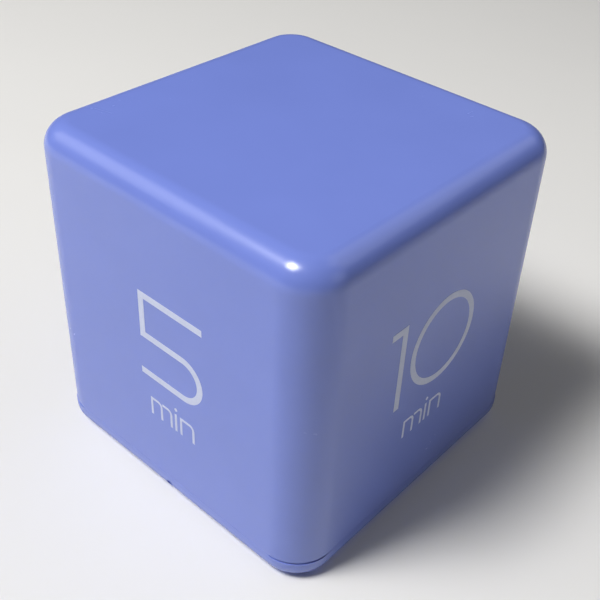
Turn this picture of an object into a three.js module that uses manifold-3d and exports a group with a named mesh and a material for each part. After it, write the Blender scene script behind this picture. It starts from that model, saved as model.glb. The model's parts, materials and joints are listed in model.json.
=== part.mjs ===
// A cube timer. A one-piece moulded cup forms five faces of the cube, and a
// screwed cover closes it below and carries the cells, the board and the sounder.
// Millimetres, +Z up. The origin is the middle of the base. The face with the 5
// looks along -Y and the face with the 10 along +X.
import * as THREE from 'three';
import { mergeVertices, toCreasedNormals } from 'three/addons/utils/BufferGeometryUtils.js';
import Module from 'manifold-3d';

const wasm = await Module();
wasm.setup();

// Case: a cube that is as long as its walls and the battery bay across it
const sideRadius = 7.4;
const topRadius = 4.5;
const baseRadius = 2.5;
const wall = 2.2;
const seamHeight = 4.2;
const seamGap = 0.3;

// Fits: the gap between neighbouring pieces, and how far a cutting tool runs past a face
const clearance = 0.3;
const overrun = 1;

// Bottom cover
const floorThickness = 2;
const lipWall = 1.4;
const lipHeight = 3;
const endRoom = 0.9;

const notchRadius = 0.8;
const notchDepth = 1;
const notchHeight = 1.9;

// Screw columns of the cup, and the pillars of the cover that they stand on
const columnRadius = 2.7;
const columnSetback = 4.1;
const webThickness = 1.2;
const pillarRadius = 3.4;
const pillarHeight = 5;

// Case screws
const headRadius = 2.3;
const headHeight = 1.5;
const headSink = 0.9;
const shankRadius = 1.1;
const shankLength = 9;
const driveWidth = 0.7;
const driveDepth = 0.8;
const headFaceShare = 0.86;
const headEdgeShare = 0.4;
const shankTipShare = 0.3;
const driveReachShare = 0.62;

// Cells, size AAA
const cellDiameter = 10.5;
const cellLength = 44.5;
const cellShoulder = 0.5;
const nubDiameter = 3.8;
const nubLength = 1;
const cellSpacing = 0.6;
const cellSlack = 0.5;
const cellRest = 0.45;

// Battery bay, contacts and springs
const bayWall = 1.2;
const contactThickness = 0.4;
const contactWidth = 9;
const dimpleRadius = 1.9;
const dimpleHeight = 0.8;
const tabWidth = 3;
const tabHeight = 3;
const springRoom = 5.6;
const springWire = 0.6;
const springWideRadius = 3.2;
const springTipRadius = 2;
const springTurns = 3.25;

// Battery door
const doorThickness = 1.8;
const doorCorner = 0.6;
const ledgeWidth = 1;
const ledgeThickness = 0.8;
const hookReach = 1.1;
const hookThickness = 0.8;
const hookWidth = 5;
const latchWidth = 6;
const latchHeight = 2.4;
const latchThickness = 0.7;
const latchBow = 0.8;
const catchReach = 0.5;
const catchHeight = 0.7;
const scoopRadius = 4;
const scoopDepth = 1.2;
const gripLength = 9;
const gripWidth = 0.7;
const gripDepth = 0.4;
const gripPitch = 1.7;
const gripCount = 4;

// Power switch
const knobTravel = 3;
const knobLength = 5;
const knobWidth = 4.4;
const knobSink = 0.25;
const knobThickness = 0.5;
const ridgeWidth = 0.5;
const ridgeHeight = 0.2;
const ridgeCount = 4;
const recessDepth = 1.05;
const recessCorner = 1.2;
const recessRoom = 0.8;
const barLength = 1.6;
const barWidth = 1.6;
const cheekThickness = 0.8;
const frameLength = 8.6;
const frameWidth = 4.4;
const frameHeight = 3.2;
const frameWall = 0.3;
const frameStand = 1.2;
const sliderSlack = 0.5;
const sliderHeight = 1.2;
const terminalPlate = 1;
const terminalPinWidth = 0.5;
const terminalPinLength = 2;
const railWidth = 1;
const switchShare = 0.535;

// Sounder, as wide as the room behind the battery bay lets it be
const holderRoom = 1.5;
const holderWall = 1.1;
const holderHeight = 3;
const discThickness = 0.25;
const ceramicThickness = 0.25;
const seatHeight = 1;
const ceramicShare = 0.7;
const seatShare = 0.9;
const soundCircleShare = 0.46;
const soundHoleRadius = 0.9;
const soundHoleCount = 6;
const sounderShare = -0.285;

// Board and its posts
const boardRoom = 4.1;
const boardCorner = 6;
const boardThickness = 1.6;
const boardHeight = 19;
const postRadius = 2.2;
const pinRadius = 1;
const pinHeight = 0.8;
const boardHeadRadius = 2;
const boardHeadHeight = 1.3;
const boardShankRadius = 0.9;
const boardShankLength = 7;

// Parts on the board
const chipLength = 4.9;
const chipWidth = 3.9;
const chipHeight = 1.5;
const legSpan = 6;
const legWidth = 0.4;
const legThickness = 0.25;
const legRise = 0.7;
const legsPerSide = 4;
const crystalLength = 5;
const crystalWidth = 3.2;
const crystalHeight = 1.3;
const crystalCorner = 0.7;
const smoothingRadius = 2.5;
const smoothingHeight = 7;
const smoothingNeck = 0.3;
const smoothingNeckShare = 0.16;
const coilRadius = 3;
const coilHeight = 4.5;
const coilFlange = 0.8;
const coilWaist = 2.4;
const transistorLength = 2.9;
const transistorWidth = 1.4;
const transistorHeight = 1.1;
const chipPartLength = 3.2;
const chipPartWidth = 1.6;
const resistorHeight = 0.6;
const capacitorHeight = 1.1;

// Tilt switches
const tiltRadius = 2.6;
const tiltLength = 9;
const tiltWall = 0.35;
const tiltBaseThickness = 1.6;
const tiltStem = 0.6;
const tiltPinRadius = 0.35;
const tiltPinSpacing = 2.4;
const tiltLean = 12;
const tiltMargin = 4.3;
const ballRadius = 1.7;

// Leads, and the pads near the edge of the board that the battery leads bend over to
const leadRadius = 0.55;
const leadBend = 3.4;
const padInset = 2.6;
const padSpacing = 3;
const leadSides = 8;
const leadSteps = 16;

// Steps round a curve
const cornerSteps = 8;
const edgeSteps = 6;
const roundSteps = 24;
const smallSteps = 12;
const outlineSteps = 4;
const springStepsPerTurn = 10;
const springSides = 6;
const gapSamplesPerTurn = 40;
const quarter = Math.PI / 2;
const corners = [[1, 1], [-1, 1], [-1, -1], [1, -1]];

// Places that follow from the sizes
const bayWidth = 2 * cellDiameter + cellSpacing + 2 * cellSlack;
const bayLength = cellLength + springRoom + dimpleHeight + clearance + 2 * contactThickness;
const cube = bayLength + 2 * (bayWall + endRoom + lipWall + clearance + wall);
const half = cube / 2;
const innerHalf = half - wall;
const innerRadius = sideRadius - wall;
const lipOuter = innerHalf - clearance;
const lipInner = lipOuter - lipWall;
const columnPlace = innerHalf - columnSetback;
const screwSeat = headSink + headHeight;
const bayFront = -(columnPlace - columnRadius - clearance) + bayWall;
const bayMiddle = bayFront + bayWidth / 2;
const bayBack = bayFront + bayWidth;
const cellHeight = doorThickness + cellRest + cellDiameter / 2;
const bayCeiling = cellHeight + cellDiameter / 2 + clearance;
const bayTop = bayCeiling + bayWall;
const doorLength = bayLength - 2 * clearance;
const doorWidth = bayWidth - 2 * clearance;
const cellOffset = (cellDiameter + cellSpacing) / 2;
const behindBay = (bayBack + bayWall + lipInner) / 2;
const holderRadius = (lipInner - bayBack - bayWall) / 2 - holderRoom;
const discRadius = holderRadius - holderWall - clearance;
const ceramicRadius = discRadius * ceramicShare;
const seatRadius = discRadius * seatShare;
const soundHoleCircle = discRadius * soundCircleShare;
const sounderX = lipInner * sounderShare;
const switchX = lipInner * switchShare;
const sliderLength = frameLength - 2 * frameWall - knobTravel - 2 * sliderSlack;
const boardTop = boardHeight + boardThickness;
const boardWidth = 2 * (lipInner - boardRoom);
const postX = boardWidth / 2 - postRadius - clearance;
const postBackY = bayBack + bayWall + postRadius + 2 * clearance;
const postFrontY = bayMiddle - cellOffset;

// Colours and finishes
function finish(color, roughness, metalness = 0) {
  return new THREE.MeshStandardMaterial({ color, roughness, metalness });
}
const casePlastic = () => finish(0x8794d8, 0.42);
const knobPlastic = () => finish(0xe9ebf0, 0.5);
const steel = () => finish(0xb9bcc2, 0.32, 1);
const nickel = () => finish(0xcfd0cc, 0.28, 1);
const brass = () => finish(0xc9a84c, 0.3, 1);
const cellJacket = () => finish(0x3b4046, 0.45);
const boardMask = () => finish(0x1f6b3f, 0.5);
const blackPlastic = () => finish(0x1b1c1e, 0.55);
const ceramic = () => finish(0xd9d6cc, 0.6);
const redWire = () => finish(0xb3261e, 0.5);
const blackWire = () => finish(0x222326, 0.5);

// A closed geometry as a solid that can be joined and cut
function solid(geometry) {
  const bare = geometry.clone();
  bare.deleteAttribute('normal');
  bare.deleteAttribute('uv');
  const merged = mergeVertices(bare);
  const order = merged.index.array;
  const kept = [];
  for (let i = 0; i < order.length; i += 3) {
    const [a, b, c] = order.slice(i, i + 3);
    if (a !== b && b !== c && c !== a) kept.push(a, b, c);
  }
  return new wasm.Manifold(new wasm.Mesh({
    numProp: 3,
    vertProperties: merged.attributes.position.array,
    triVerts: Uint32Array.from(kept),
  }));
}

// A solid as a geometry again, with its edges kept crisp
function surface(body) {
  const mesh = body.getMesh();
  const geometry = new THREE.BufferGeometry();
  geometry.setAttribute('position', new THREE.BufferAttribute(mesh.vertProperties, 3));
  geometry.setIndex(new THREE.BufferAttribute(mesh.triVerts, 1));
  return toCreasedNormals(geometry, Math.PI / 6);
}

function joined(first, ...others) {
  return others.reduce((sum, other) => sum.add(other), first);
}

function cut(body, ...tools) {
  return tools.reduce((rest, tool) => rest.subtract(tool), body);
}

// A box between two corners
function box(x0, x1, y0, y1, z0, z1) {
  const geometry = new THREE.BoxGeometry(x1 - x0, y1 - y0, z1 - z0);
  geometry.translate((x0 + x1) / 2, (y0 + y1) / 2, (z0 + z1) / 2);
  return geometry;
}

// An upright cylinder between two heights
function rod(radius, z0, z1, x = 0, y = 0, steps = roundSteps) {
  const geometry = new THREE.CylinderGeometry(radius, radius, z1 - z0, steps);
  geometry.rotateX(Math.PI / 2);
  geometry.translate(x, y, (z0 + z1) / 2);
  return geometry;
}

// A turned shape about the Z axis, from pairs of radius and height
function turned(profile, steps = roundSteps) {
  const geometry = new THREE.LatheGeometry(profile.map(([r, z]) => new THREE.Vector2(r, z)), steps);
  geometry.rotateX(Math.PI / 2);
  return geometry;
}

// A centred rectangle with round corners
function roundedOutline(width, depth, radius) {
  const shape = new THREE.Shape();
  const x = width / 2 - radius;
  const y = depth / 2 - radius;
  shape.absarc(x, y, radius, 0, Math.PI / 2);
  shape.absarc(-x, y, radius, Math.PI / 2, Math.PI);
  shape.absarc(-x, -y, radius, Math.PI, 3 * Math.PI / 2);
  shape.absarc(x, -y, radius, 3 * Math.PI / 2, 2 * Math.PI);
  return shape;
}

// An outline drawn up between two heights
function prism(shape, z0, z1, x = 0, y = 0, steps = cornerSteps) {
  const geometry = new THREE.ExtrudeGeometry(shape, {
    depth: z1 - z0, bevelEnabled: false, curveSegments: steps / 2,
  });
  geometry.translate(x, y, z0);
  return geometry;
}

// An outline in X and Z, given from the left, drawn out along Y about a middle
function slice(points, width, y) {
  const shape = new THREE.Shape(points.map(([x, z]) => new THREE.Vector2(x, z)));
  const geometry = new THREE.ExtrudeGeometry(shape, { depth: width, bevelEnabled: false });
  geometry.rotateX(Math.PI / 2);
  geometry.translate(0, y + width / 2, 0);
  return geometry;
}

// One level of a block with round upright edges, drawn in by an inset
function level(width, radius, inset, z) {
  const points = [];
  const corner = Math.max(radius - inset, clearance);
  const middle = width / 2 - inset - corner;
  for (const [turn, [sx, sy]] of corners.entries()) {
    const cx = middle * sx;
    const cy = middle * sy;
    for (let step = 0; step <= cornerSteps; step += 1) {
      const angle = (turn + step / cornerSteps) * quarter;
      points.push([cx + corner * Math.cos(angle), cy + corner * Math.sin(angle), z]);
    }
  }
  return points;
}

// A skin over levels that rise from the first to the last, closed at both ends
function lofted(levels) {
  const count = levels[0].length;
  const index = [];
  for (let k = 0; k + 1 < levels.length; k += 1) {
    for (let i = 0; i < count; i += 1) {
      const a = k * count + i;
      const b = k * count + (i + 1) % count;
      index.push(a, b, b + count, a, b + count, a + count);
    }
  }
  // Both ends are closed in strips across the outline
  const last = (levels.length - 1) * count;
  for (let i = 0; i + 1 < count / 2; i += 1) {
    const j = count - 1 - i;
    index.push(i, j - 1, i + 1, i, j, j - 1);
    index.push(last + i, last + i + 1, last + j - 1, last + i, last + j - 1, last + j);
  }
  const geometry = new THREE.BufferGeometry();
  geometry.setAttribute('position', new THREE.Float32BufferAttribute(levels.flat(2), 3));
  geometry.setIndex(index);
  return geometry;
}

// A square block with round upright edges, and with its lower and upper edges rounded
function block(width, radius, z0, z1, lowerRadius, upperRadius) {
  const levels = [];
  const quarterTurn = (step) => step / edgeSteps * quarter;
  if (lowerRadius > 0) {
    for (let step = edgeSteps; step > 0; step -= 1) {
      const inset = lowerRadius * (1 - Math.cos(quarterTurn(step)));
      levels.push(level(width, radius, inset, z0 + lowerRadius * (1 - Math.sin(quarterTurn(step)))));
    }
  }
  levels.push(level(width, radius, 0, z0 + lowerRadius));
  levels.push(level(width, radius, 0, z1 - upperRadius));
  if (upperRadius > 0) {
    for (let step = 1; step <= edgeSteps; step += 1) {
      const inset = upperRadius * (1 - Math.cos(quarterTurn(step)));
      levels.push(level(width, radius, inset, z1 - upperRadius * (1 - Math.sin(quarterTurn(step)))));
    }
  }
  return lofted(levels);
}

// A round tube along a curve
function tube(curve, radius, sides, steps) {
  const section = new THREE.Shape();
  section.absarc(0, 0, radius, 0, 2 * Math.PI);
  return new THREE.ExtrudeGeometry(section, {
    steps, curveSegments: sides / 2, bevelEnabled: false, extrudePath: curve,
  });
}

const timer = new THREE.Group();

// A named piece from a geometry or from a solid, put in a group
function piece(name, form, material, group = timer) {
  const mesh = new THREE.Mesh(form.isBufferGeometry ? form : surface(form), material);
  mesh.name = name;
  group.add(mesh);
  return mesh;
}

// Cup: five walls in one moulding, with a screw column held by two webs in each corner
function makeShell() {
  const rim = seamHeight + seamGap / 2;
  const outside = solid(block(cube, sideRadius, rim, cube, 0, topRadius));
  const inside = solid(block(2 * innerHalf, innerRadius, rim - overrun, cube - wall, 0, topRadius - wall));
  const webBottom = seamHeight + lipHeight + clearance;
  const thick = webThickness / 2;
  const stems = corners.flatMap(([sx, sy]) => {
    const x = sx * columnPlace;
    const y = sy * columnPlace;
    const [nearX, farX] = [x, sx * half].sort((a, b) => a - b);
    const [nearY, farY] = [y, sy * half].sort((a, b) => a - b);
    return [
      rod(columnRadius, pillarHeight, cube, x, y, smallSteps),
      box(nearX, farX, y - thick, y + thick, webBottom, cube),
      box(x - thick, x + thick, nearY, farY, webBottom, cube),
    ].map(solid);
  });
  const pilotTop = screwSeat + shankLength + clearance;
  const pilots = corners.map(([sx, sy]) => solid(rod(shankRadius + clearance, pillarHeight - overrun,
    pilotTop, sx * columnPlace, sy * columnPlace, smallSteps)));
  piece('body_shell', cut(outside, cut(inside, ...stems), ...pilots), casePlastic());
}

// Tray of the cover: floor, rim, the lip that locates it in the cup, and the screw pillars
function coverTray() {
  const rimTop = seamHeight - seamGap / 2;
  const plate = solid(block(cube, sideRadius, 0, rimTop, baseRadius, 0));
  const lip = solid(block(2 * lipOuter, innerRadius - clearance, floorThickness,
    seamHeight + lipHeight, 0, 0));
  const lipEnd = columnPlace - pillarRadius - clearance;
  const lipCuts = corners.map(([sx, sy]) => solid(box(
    Math.min(sx * lipEnd, sx * half), Math.max(sx * lipEnd, sx * half),
    Math.min(sy * lipEnd, sy * half), Math.max(sy * lipEnd, sy * half),
    rimTop, seamHeight + lipHeight + overrun,
  )));
  const pocket = solid(block(2 * lipInner, innerRadius - clearance - lipWall, floorThickness,
    seamHeight + lipHeight + overrun, 0, 0));
  const pillars = corners.map(([sx, sy]) => solid(
    rod(pillarRadius, floorThickness / 2, pillarHeight, sx * columnPlace, sy * columnPlace),
  ));
  return joined(cut(joined(plate, lip), ...lipCuts, pocket), ...pillars);
}

// Notch in the lower edge below the 5, where a blade lifts the cover
function pryCut() {
  const geometry = new THREE.CylinderGeometry(notchRadius, notchRadius, notchDepth + overrun, smallSteps);
  geometry.translate(0, -half - (overrun - notchDepth) / 2, notchHeight);
  return solid(geometry);
}

// Battery bay: four walls and a roof that stand on the cover, with ledges over the door
function coverBay() {
  const x = bayLength / 2;
  return solid(box(-x - bayWall, x + bayWall, bayFront - bayWall, bayBack + bayWall, 0, bayTop));
}

function bayCuts() {
  const x = bayLength / 2;
  const z = doorThickness + clearance;
  const room = box(-x, x, bayFront, bayBack, z + ledgeThickness, bayCeiling);
  const throat = box(-x, x, bayFront + ledgeWidth, bayBack - ledgeWidth, z - overrun, bayCeiling);
  const mouth = box(-x, x, bayFront, bayBack, -overrun, z);
  return [room, throat, mouth].map(solid);
}

// Slots for the door's hooks, the channel for its catch and the scoop for a fingertip
function doorCuts() {
  const x = bayLength / 2;
  const hookTop = Math.hypot(hookReach, doorThickness) + clearance;
  const hookBottom = doorThickness - hookThickness - clearance;
  const slots = hookPlaces().map((y) => box(-x - bayWall - overrun, -x + overrun,
    y - hookWidth / 2 - clearance, y + hookWidth / 2 + clearance, hookBottom, hookTop));
  const channelTop = doorThickness + latchHeight + clearance;
  const channel = box(x - overrun, x + catchReach + clearance, bayMiddle - latchWidth / 2 - clearance,
    bayMiddle + latchWidth / 2 + clearance, -overrun, channelTop);
  const scoop = rod(scoopRadius, -overrun, scoopDepth, x, bayMiddle);
  return [...slots, channel, scoop].map(solid);
}

function hookPlaces() {
  return [bayMiddle - doorWidth / 4, bayMiddle + doorWidth / 4];
}

// Slots in the bay roof for the tabs of the two contacts with leads
function tabCuts() {
  const x = bayLength / 2;
  return [-cellOffset, cellOffset].map((offset) => {
    const y = bayMiddle + offset;
    return solid(box(x - contactThickness - clearance, x + clearance, y - tabWidth / 2 - clearance,
      y + tabWidth / 2 + clearance, bayCeiling - overrun, bayTop + overrun));
  });
}

// Counterbores and shank holes of the case screws
function screwCuts() {
  return corners.flatMap(([sx, sy]) => {
    const x = sx * columnPlace;
    const y = sy * columnPlace;
    return [
      solid(rod(headRadius + clearance, -overrun, screwSeat, x, y)),
      solid(rod(shankRadius + clearance, 0, pillarHeight + overrun, x, y, smallSteps)),
    ];
  });
}

// Sounder holder: a ring with a step for the disc, over a ring of sound holes
function sounderHolder() {
  const ring = solid(rod(holderRadius, floorThickness / 2, floorThickness + holderHeight,
    sounderX, behindBay));
  const bore = solid(rod(discRadius + clearance, floorThickness + seatHeight,
    floorThickness + holderHeight + overrun, sounderX, behindBay));
  const well = solid(rod(seatRadius, floorThickness, floorThickness + holderHeight,
    sounderX, behindBay));
  return cut(ring, bore, well);
}

function soundHoles() {
  const holes = [[0, 0]];
  for (let k = 0; k < soundHoleCount; k += 1) {
    const angle = k / soundHoleCount * 2 * Math.PI;
    holes.push([soundHoleCircle * Math.cos(angle), soundHoleCircle * Math.sin(angle)]);
  }
  return holes.map(([dx, dy]) => solid(
    rod(soundHoleRadius, -overrun, floorThickness + overrun, sounderX + dx, behindBay + dy, smallSteps),
  ));
}

// Switch seat: rails and end stops inside, a recess and a slot for the knob outside
const frameBottom = floorThickness + frameStand;
const frameTop = frameBottom + frameHeight;
const forkLength = barLength + 2 * clearance + 2 * cheekThickness;
const slotLength = forkLength + knobTravel + 2 * clearance;
const recessLength = knobLength + knobTravel + 2 * clearance + recessRoom;

function switchSeat() {
  const parts = [];
  for (const side of [-1, 1]) {
    const stopInner = side * (frameLength / 2 + clearance);
    const stopOuter = side * (frameLength / 2 + clearance + railWidth);
    const railInner = side * (frameLength / 2 - railWidth / 2);
    const [railA, railB] = [railInner, stopOuter].sort((a, b) => a - b);
    const [stopA, stopB] = [stopInner, stopOuter].sort((a, b) => a - b);
    parts.push(solid(box(switchX + railA, switchX + railB, behindBay - frameWidth / 2,
      behindBay + frameWidth / 2, floorThickness / 2, frameBottom)));
    parts.push(solid(box(switchX + stopA, switchX + stopB, behindBay - frameWidth / 2,
      behindBay + frameWidth / 2, floorThickness / 2, frameTop)));
  }
  return parts;
}

function switchCuts() {
  const recess = prism(roundedOutline(recessLength, knobWidth + 2 * clearance + recessRoom, recessCorner),
    -overrun, recessDepth, switchX, behindBay);
  const slot = prism(roundedOutline(slotLength, barWidth + 2 * clearance, clearance),
    0, floorThickness + overrun, switchX, behindBay, outlineSteps);
  return [recess, slot].map(solid);
}

// Posts under the board: two take a screw and two have a pin that passes through the board
const postPlaces = [
  { x: -postX, y: postFrontY, foot: bayTop, pinned: false },
  { x: postX, y: postFrontY, foot: bayTop, pinned: true },
  { x: -postX, y: postBackY, foot: floorThickness, pinned: true },
  { x: postX, y: postBackY, foot: floorThickness, pinned: false },
];

function boardPosts() {
  return postPlaces.flatMap(({ x, y, foot, pinned }) => {
    const sunk = bayWall / 2;
    const post = solid(rod(postRadius, foot - sunk, boardHeight, x, y, smallSteps));
    const pin = solid(rod(pinRadius, boardHeight - sunk, boardTop + pinHeight, x, y, smallSteps));
    return pinned ? [post, pin] : [post];
  });
}

function postPilots() {
  return postPlaces.filter(({ pinned }) => !pinned).map(({ x, y }) => solid(
    rod(boardShankRadius + clearance, boardTop - boardShankLength - clearance, boardHeight + overrun,
      x, y, smallSteps),
  ));
}

function makeCover() {
  const body = joined(coverTray(), coverBay(), sounderHolder(), ...switchSeat(), ...boardPosts());
  const cover = cut(body, ...bayCuts(), ...doorCuts(), ...tabCuts(), ...screwCuts(), ...soundHoles(),
    ...switchCuts(), ...postPilots(), pryCut());
  piece('bottom_cover', cover, casePlastic());
}

// Door over the cells: it hangs by two hooks at one end and has a bowed latch at the other
function makeDoor() {
  const end = doorLength / 2;
  const plate = solid(prism(roundedOutline(doorLength, doorWidth, doorCorner), 0, doorThickness, 0,
    bayMiddle, outlineSteps));
  const hooks = hookPlaces().map((y) => solid(box(-end - hookReach, -end + hookReach,
    y - hookWidth / 2, y + hookWidth / 2, doorThickness - hookThickness, doorThickness)));
  const bowOuter = end - latchThickness;
  const bowInner = bowOuter - latchBow;
  const top = doorThickness + latchHeight;
  const notch = solid(box(bowInner, end + overrun, bayMiddle - latchWidth / 2 - clearance,
    bayMiddle + latchWidth / 2 + clearance, -overrun, doorThickness + overrun));
  const catchMiddle = doorThickness + latchHeight / 2;
  const bow = solid(slice([
    [bowInner - latchThickness, doorThickness / 2], [bowInner, doorThickness / 2],
    [bowInner, top - latchThickness], [bowOuter, top - latchThickness],
    [bowOuter, 0], [end, 0],
    [end, catchMiddle - catchHeight], [end + catchReach, catchMiddle],
    [end, catchMiddle + catchHeight], [end, top], [bowInner - latchThickness, top],
  ], latchWidth, bayMiddle));
  const grips = [];
  for (let k = 0; k < gripCount; k += 1) {
    const x = bowInner - latchThickness - (k + 1) * gripPitch;
    grips.push(solid(box(x - gripWidth / 2, x + gripWidth / 2, bayMiddle - gripLength / 2,
      bayMiddle + gripLength / 2, -overrun, gripDepth)));
  }
  const door = cut(joined(cut(plate, notch), ...hooks, bow), ...grips);
  piece('battery_door', door, casePlastic());
}

// Case screws, head down, with a cross recess
function makeScrew(name, group) {
  const blank = solid(turned([
    [0, 0], [headRadius * headFaceShare, 0], [headRadius, headHeight * headEdgeShare],
    [headRadius, headHeight], [shankRadius, headHeight],
    [shankRadius, headHeight + shankLength - shankRadius],
    [shankRadius * shankTipShare, headHeight + shankLength], [0, headHeight + shankLength],
  ], smallSteps));
  const arm = headRadius * driveReachShare;
  const screw = cut(blank,
    solid(box(-arm, arm, -driveWidth / 2, driveWidth / 2, -overrun, driveDepth)),
    solid(box(-driveWidth / 2, driveWidth / 2, -arm, arm, -overrun, driveDepth)));
  return piece(name, screw, steel(), group);
}

function makeCaseScrews() {
  corners.forEach(([sx, sy], index) => {
    const screw = makeScrew(`case_screw_${index + 1}`, timer);
    screw.position.set(sx * columnPlace, sy * columnPlace, headSink);
  });
}

// Two cells side by side, head to tail
function cellProfile() {
  const r = cellDiameter / 2;
  const nub = nubDiameter / 2;
  const top = cellLength - nubLength;
  return [
    [0, 0], [r - cellShoulder, 0], [r, cellShoulder], [r, top - cellShoulder],
    [r - cellShoulder, top], [nub, top], [nub, cellLength - nubLength / 4],
    [nub - nubLength / 4, cellLength], [0, cellLength],
  ];
}

function makeCells() {
  const plusEnd = bayLength / 2 - contactThickness - dimpleHeight - clearance;
  [-1, 1].forEach((side, index) => {
    const cell = piece(`cell_${index + 1}`, turned(cellProfile()), cellJacket());
    cell.rotation.y = -side * quarter;
    cell.position.set(side * (cellLength - plusEnd), bayMiddle + side * cellOffset, cellHeight);
  });
}

// Contact plates: each stands against an end wall, with a dimple for a cell's nub
function contactPlate(width, y, x, facing) {
  const inner = x - facing * contactThickness;
  return solid(box(Math.min(x, inner), Math.max(x, inner), y - width / 2, y + width / 2,
    doorThickness + latchHeight + clearance, bayCeiling - clearance));
}

function contactDimple(y, x, facing) {
  const face = x - facing * contactThickness;
  const geometry = new THREE.CylinderGeometry(dimpleRadius / 2, dimpleRadius,
    dimpleHeight + contactThickness / 2, smallSteps);
  geometry.rotateZ(facing * Math.PI / 2);
  geometry.translate(face - facing * (dimpleHeight - contactThickness / 2) / 2, y, cellHeight);
  return solid(geometry);
}

function contactTab(y, x) {
  return solid(box(x - contactThickness, x, y - tabWidth / 2, y + tabWidth / 2, cellHeight,
    bayTop + tabHeight));
}

function makeContacts() {
  const x = bayLength / 2;
  const near = bayMiddle - cellOffset;
  const far = bayMiddle + cellOffset;
  piece('positive_contact', joined(contactPlate(contactWidth, near, x, 1), contactTab(near, x),
    contactDimple(near, x, 1)), nickel());
  piece('negative_contact', joined(contactPlate(contactWidth, far, x, 1), contactTab(far, x)), nickel());
  piece('bridge_contact', joined(contactPlate(contactWidth + 2 * cellOffset, bayMiddle, -x, -1),
    contactDimple(far, -x, -1)), nickel());
}

// Conical contact spring: one wire on a helix that narrows toward the cell
class ConeHelix extends THREE.Curve {
  getPoint(t, target = new THREE.Vector3()) {
    const angle = t * springTurns * 2 * Math.PI;
    const radius = springWideRadius + t * (springTipRadius - springWideRadius);
    const run = springRoom - 2 * clearance - springWire;
    return target.set(t * run, radius * Math.cos(angle), radius * Math.sin(angle));
  }
}

// Least clear space between turns of the spring, taken between points a turn or so apart
function springGap() {
  const points = new ConeHelix().getPoints(Math.round(springTurns * gapSamplesPerTurn));
  let least = Infinity;
  for (let i = 0; i < points.length; i += 1) {
    for (let j = i + gapSamplesPerTurn / 2; j < points.length; j += 1) {
      least = Math.min(least, points[i].distanceTo(points[j]) - springWire);
    }
  }
  return least;
}

function makeSpring(name, side) {
  const steps = Math.round(springTurns * springStepsPerTurn);
  const spring = piece(name, tube(new ConeHelix(), springWire / 2, springSides, steps), nickel());
  const wallSide = bayLength / 2 - contactThickness - clearance - springWire / 2;
  spring.position.set(side * wallSide, bayMiddle + side * cellOffset, cellHeight);
  spring.rotation.z = side > 0 ? Math.PI : 0;
}

// Sounder: a brass disc with a ceramic layer
function makeSounder() {
  const z = floorThickness + seatHeight;
  piece('sounder_disc', rod(discRadius, z, z + discThickness, sounderX, behindBay), brass());
  piece('sounder_ceramic', rod(ceramicRadius, z + discThickness, z + discThickness + ceramicThickness,
    sounderX, behindBay), ceramic());
}

// Slide switch: metal frame, terminal plate, and a slider with a bar that the knob's fork holds
function makeSwitch() {
  const offPlace = switchX - knobTravel / 2;
  const inLength = frameLength - 2 * frameWall;
  const inWidth = frameWidth - 2 * frameWall;
  const frame = cut(
    solid(box(switchX - frameLength / 2, switchX + frameLength / 2, behindBay - frameWidth / 2,
      behindBay + frameWidth / 2, frameBottom, frameTop)),
    solid(box(switchX - inLength / 2, switchX + inLength / 2, behindBay - inWidth / 2,
      behindBay + inWidth / 2, frameBottom + frameWall, frameTop + overrun)),
    solid(box(switchX - (barLength + knobTravel) / 2 - clearance,
      switchX + (barLength + knobTravel) / 2 + clearance, behindBay - barWidth / 2 - clearance,
      behindBay + barWidth / 2 + clearance, frameBottom - overrun, frameBottom + frameWall)),
  );
  piece('switch_frame', frame, steel());

  const plateLength = inLength - 2 * clearance;
  const plateWidth = inWidth - 2 * clearance;
  const pins = [-1, 0, 1].map((k) => {
    const x = switchX + k * plateLength / 3;
    return solid(box(x - terminalPinWidth / 2, x + terminalPinWidth / 2,
      behindBay - terminalPinWidth / 2, behindBay + terminalPinWidth / 2,
      frameTop - terminalPlate / 2, frameTop + terminalPinLength));
  });
  piece('switch_terminals', joined(
    solid(box(switchX - plateLength / 2, switchX + plateLength / 2, behindBay - plateWidth / 2,
      behindBay + plateWidth / 2, frameTop - terminalPlate, frameTop)),
    ...pins), blackPlastic());

  const sliderBottom = frameBottom + frameWall + clearance;
  const forkTop = frameBottom - clearance;
  const barBottom = knobSink + knobThickness + clearance;
  piece('switch_slider', joined(
    solid(box(offPlace - sliderLength / 2, offPlace + sliderLength / 2,
      behindBay - plateWidth / 2, behindBay + plateWidth / 2, sliderBottom,
      sliderBottom + sliderHeight)),
    solid(box(offPlace - barLength / 2, offPlace + barLength / 2, behindBay - barWidth / 2,
      behindBay + barWidth / 2, barBottom, sliderBottom + sliderHeight / 2))), blackPlastic());

  const cheeks = [-1, 1].map((side) => {
    const middle = offPlace + side * (barLength / 2 + clearance + cheekThickness / 2);
    return solid(box(middle - cheekThickness / 2, middle + cheekThickness / 2,
      behindBay - barWidth / 2, behindBay + barWidth / 2, knobSink + knobThickness / 2, forkTop));
  });
  const ridges = [];
  const ridgePitch = knobLength / (ridgeCount + 1);
  for (let k = 1; k <= ridgeCount; k += 1) {
    const x = offPlace - knobLength / 2 + k * ridgePitch;
    ridges.push(solid(box(x - ridgeWidth / 2, x + ridgeWidth / 2, behindBay - knobWidth / 2 + ridgeWidth,
      behindBay + knobWidth / 2 - ridgeWidth, knobSink - ridgeHeight, knobSink + knobThickness / 2)));
  }
  piece('switch_knob', joined(
    solid(prism(roundedOutline(knobLength, knobWidth, ridgeWidth), knobSink, knobSink + knobThickness,
      offPlace, behindBay, outlineSteps)),
    ...cheeks, ...ridges), knobPlastic());
}

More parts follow.
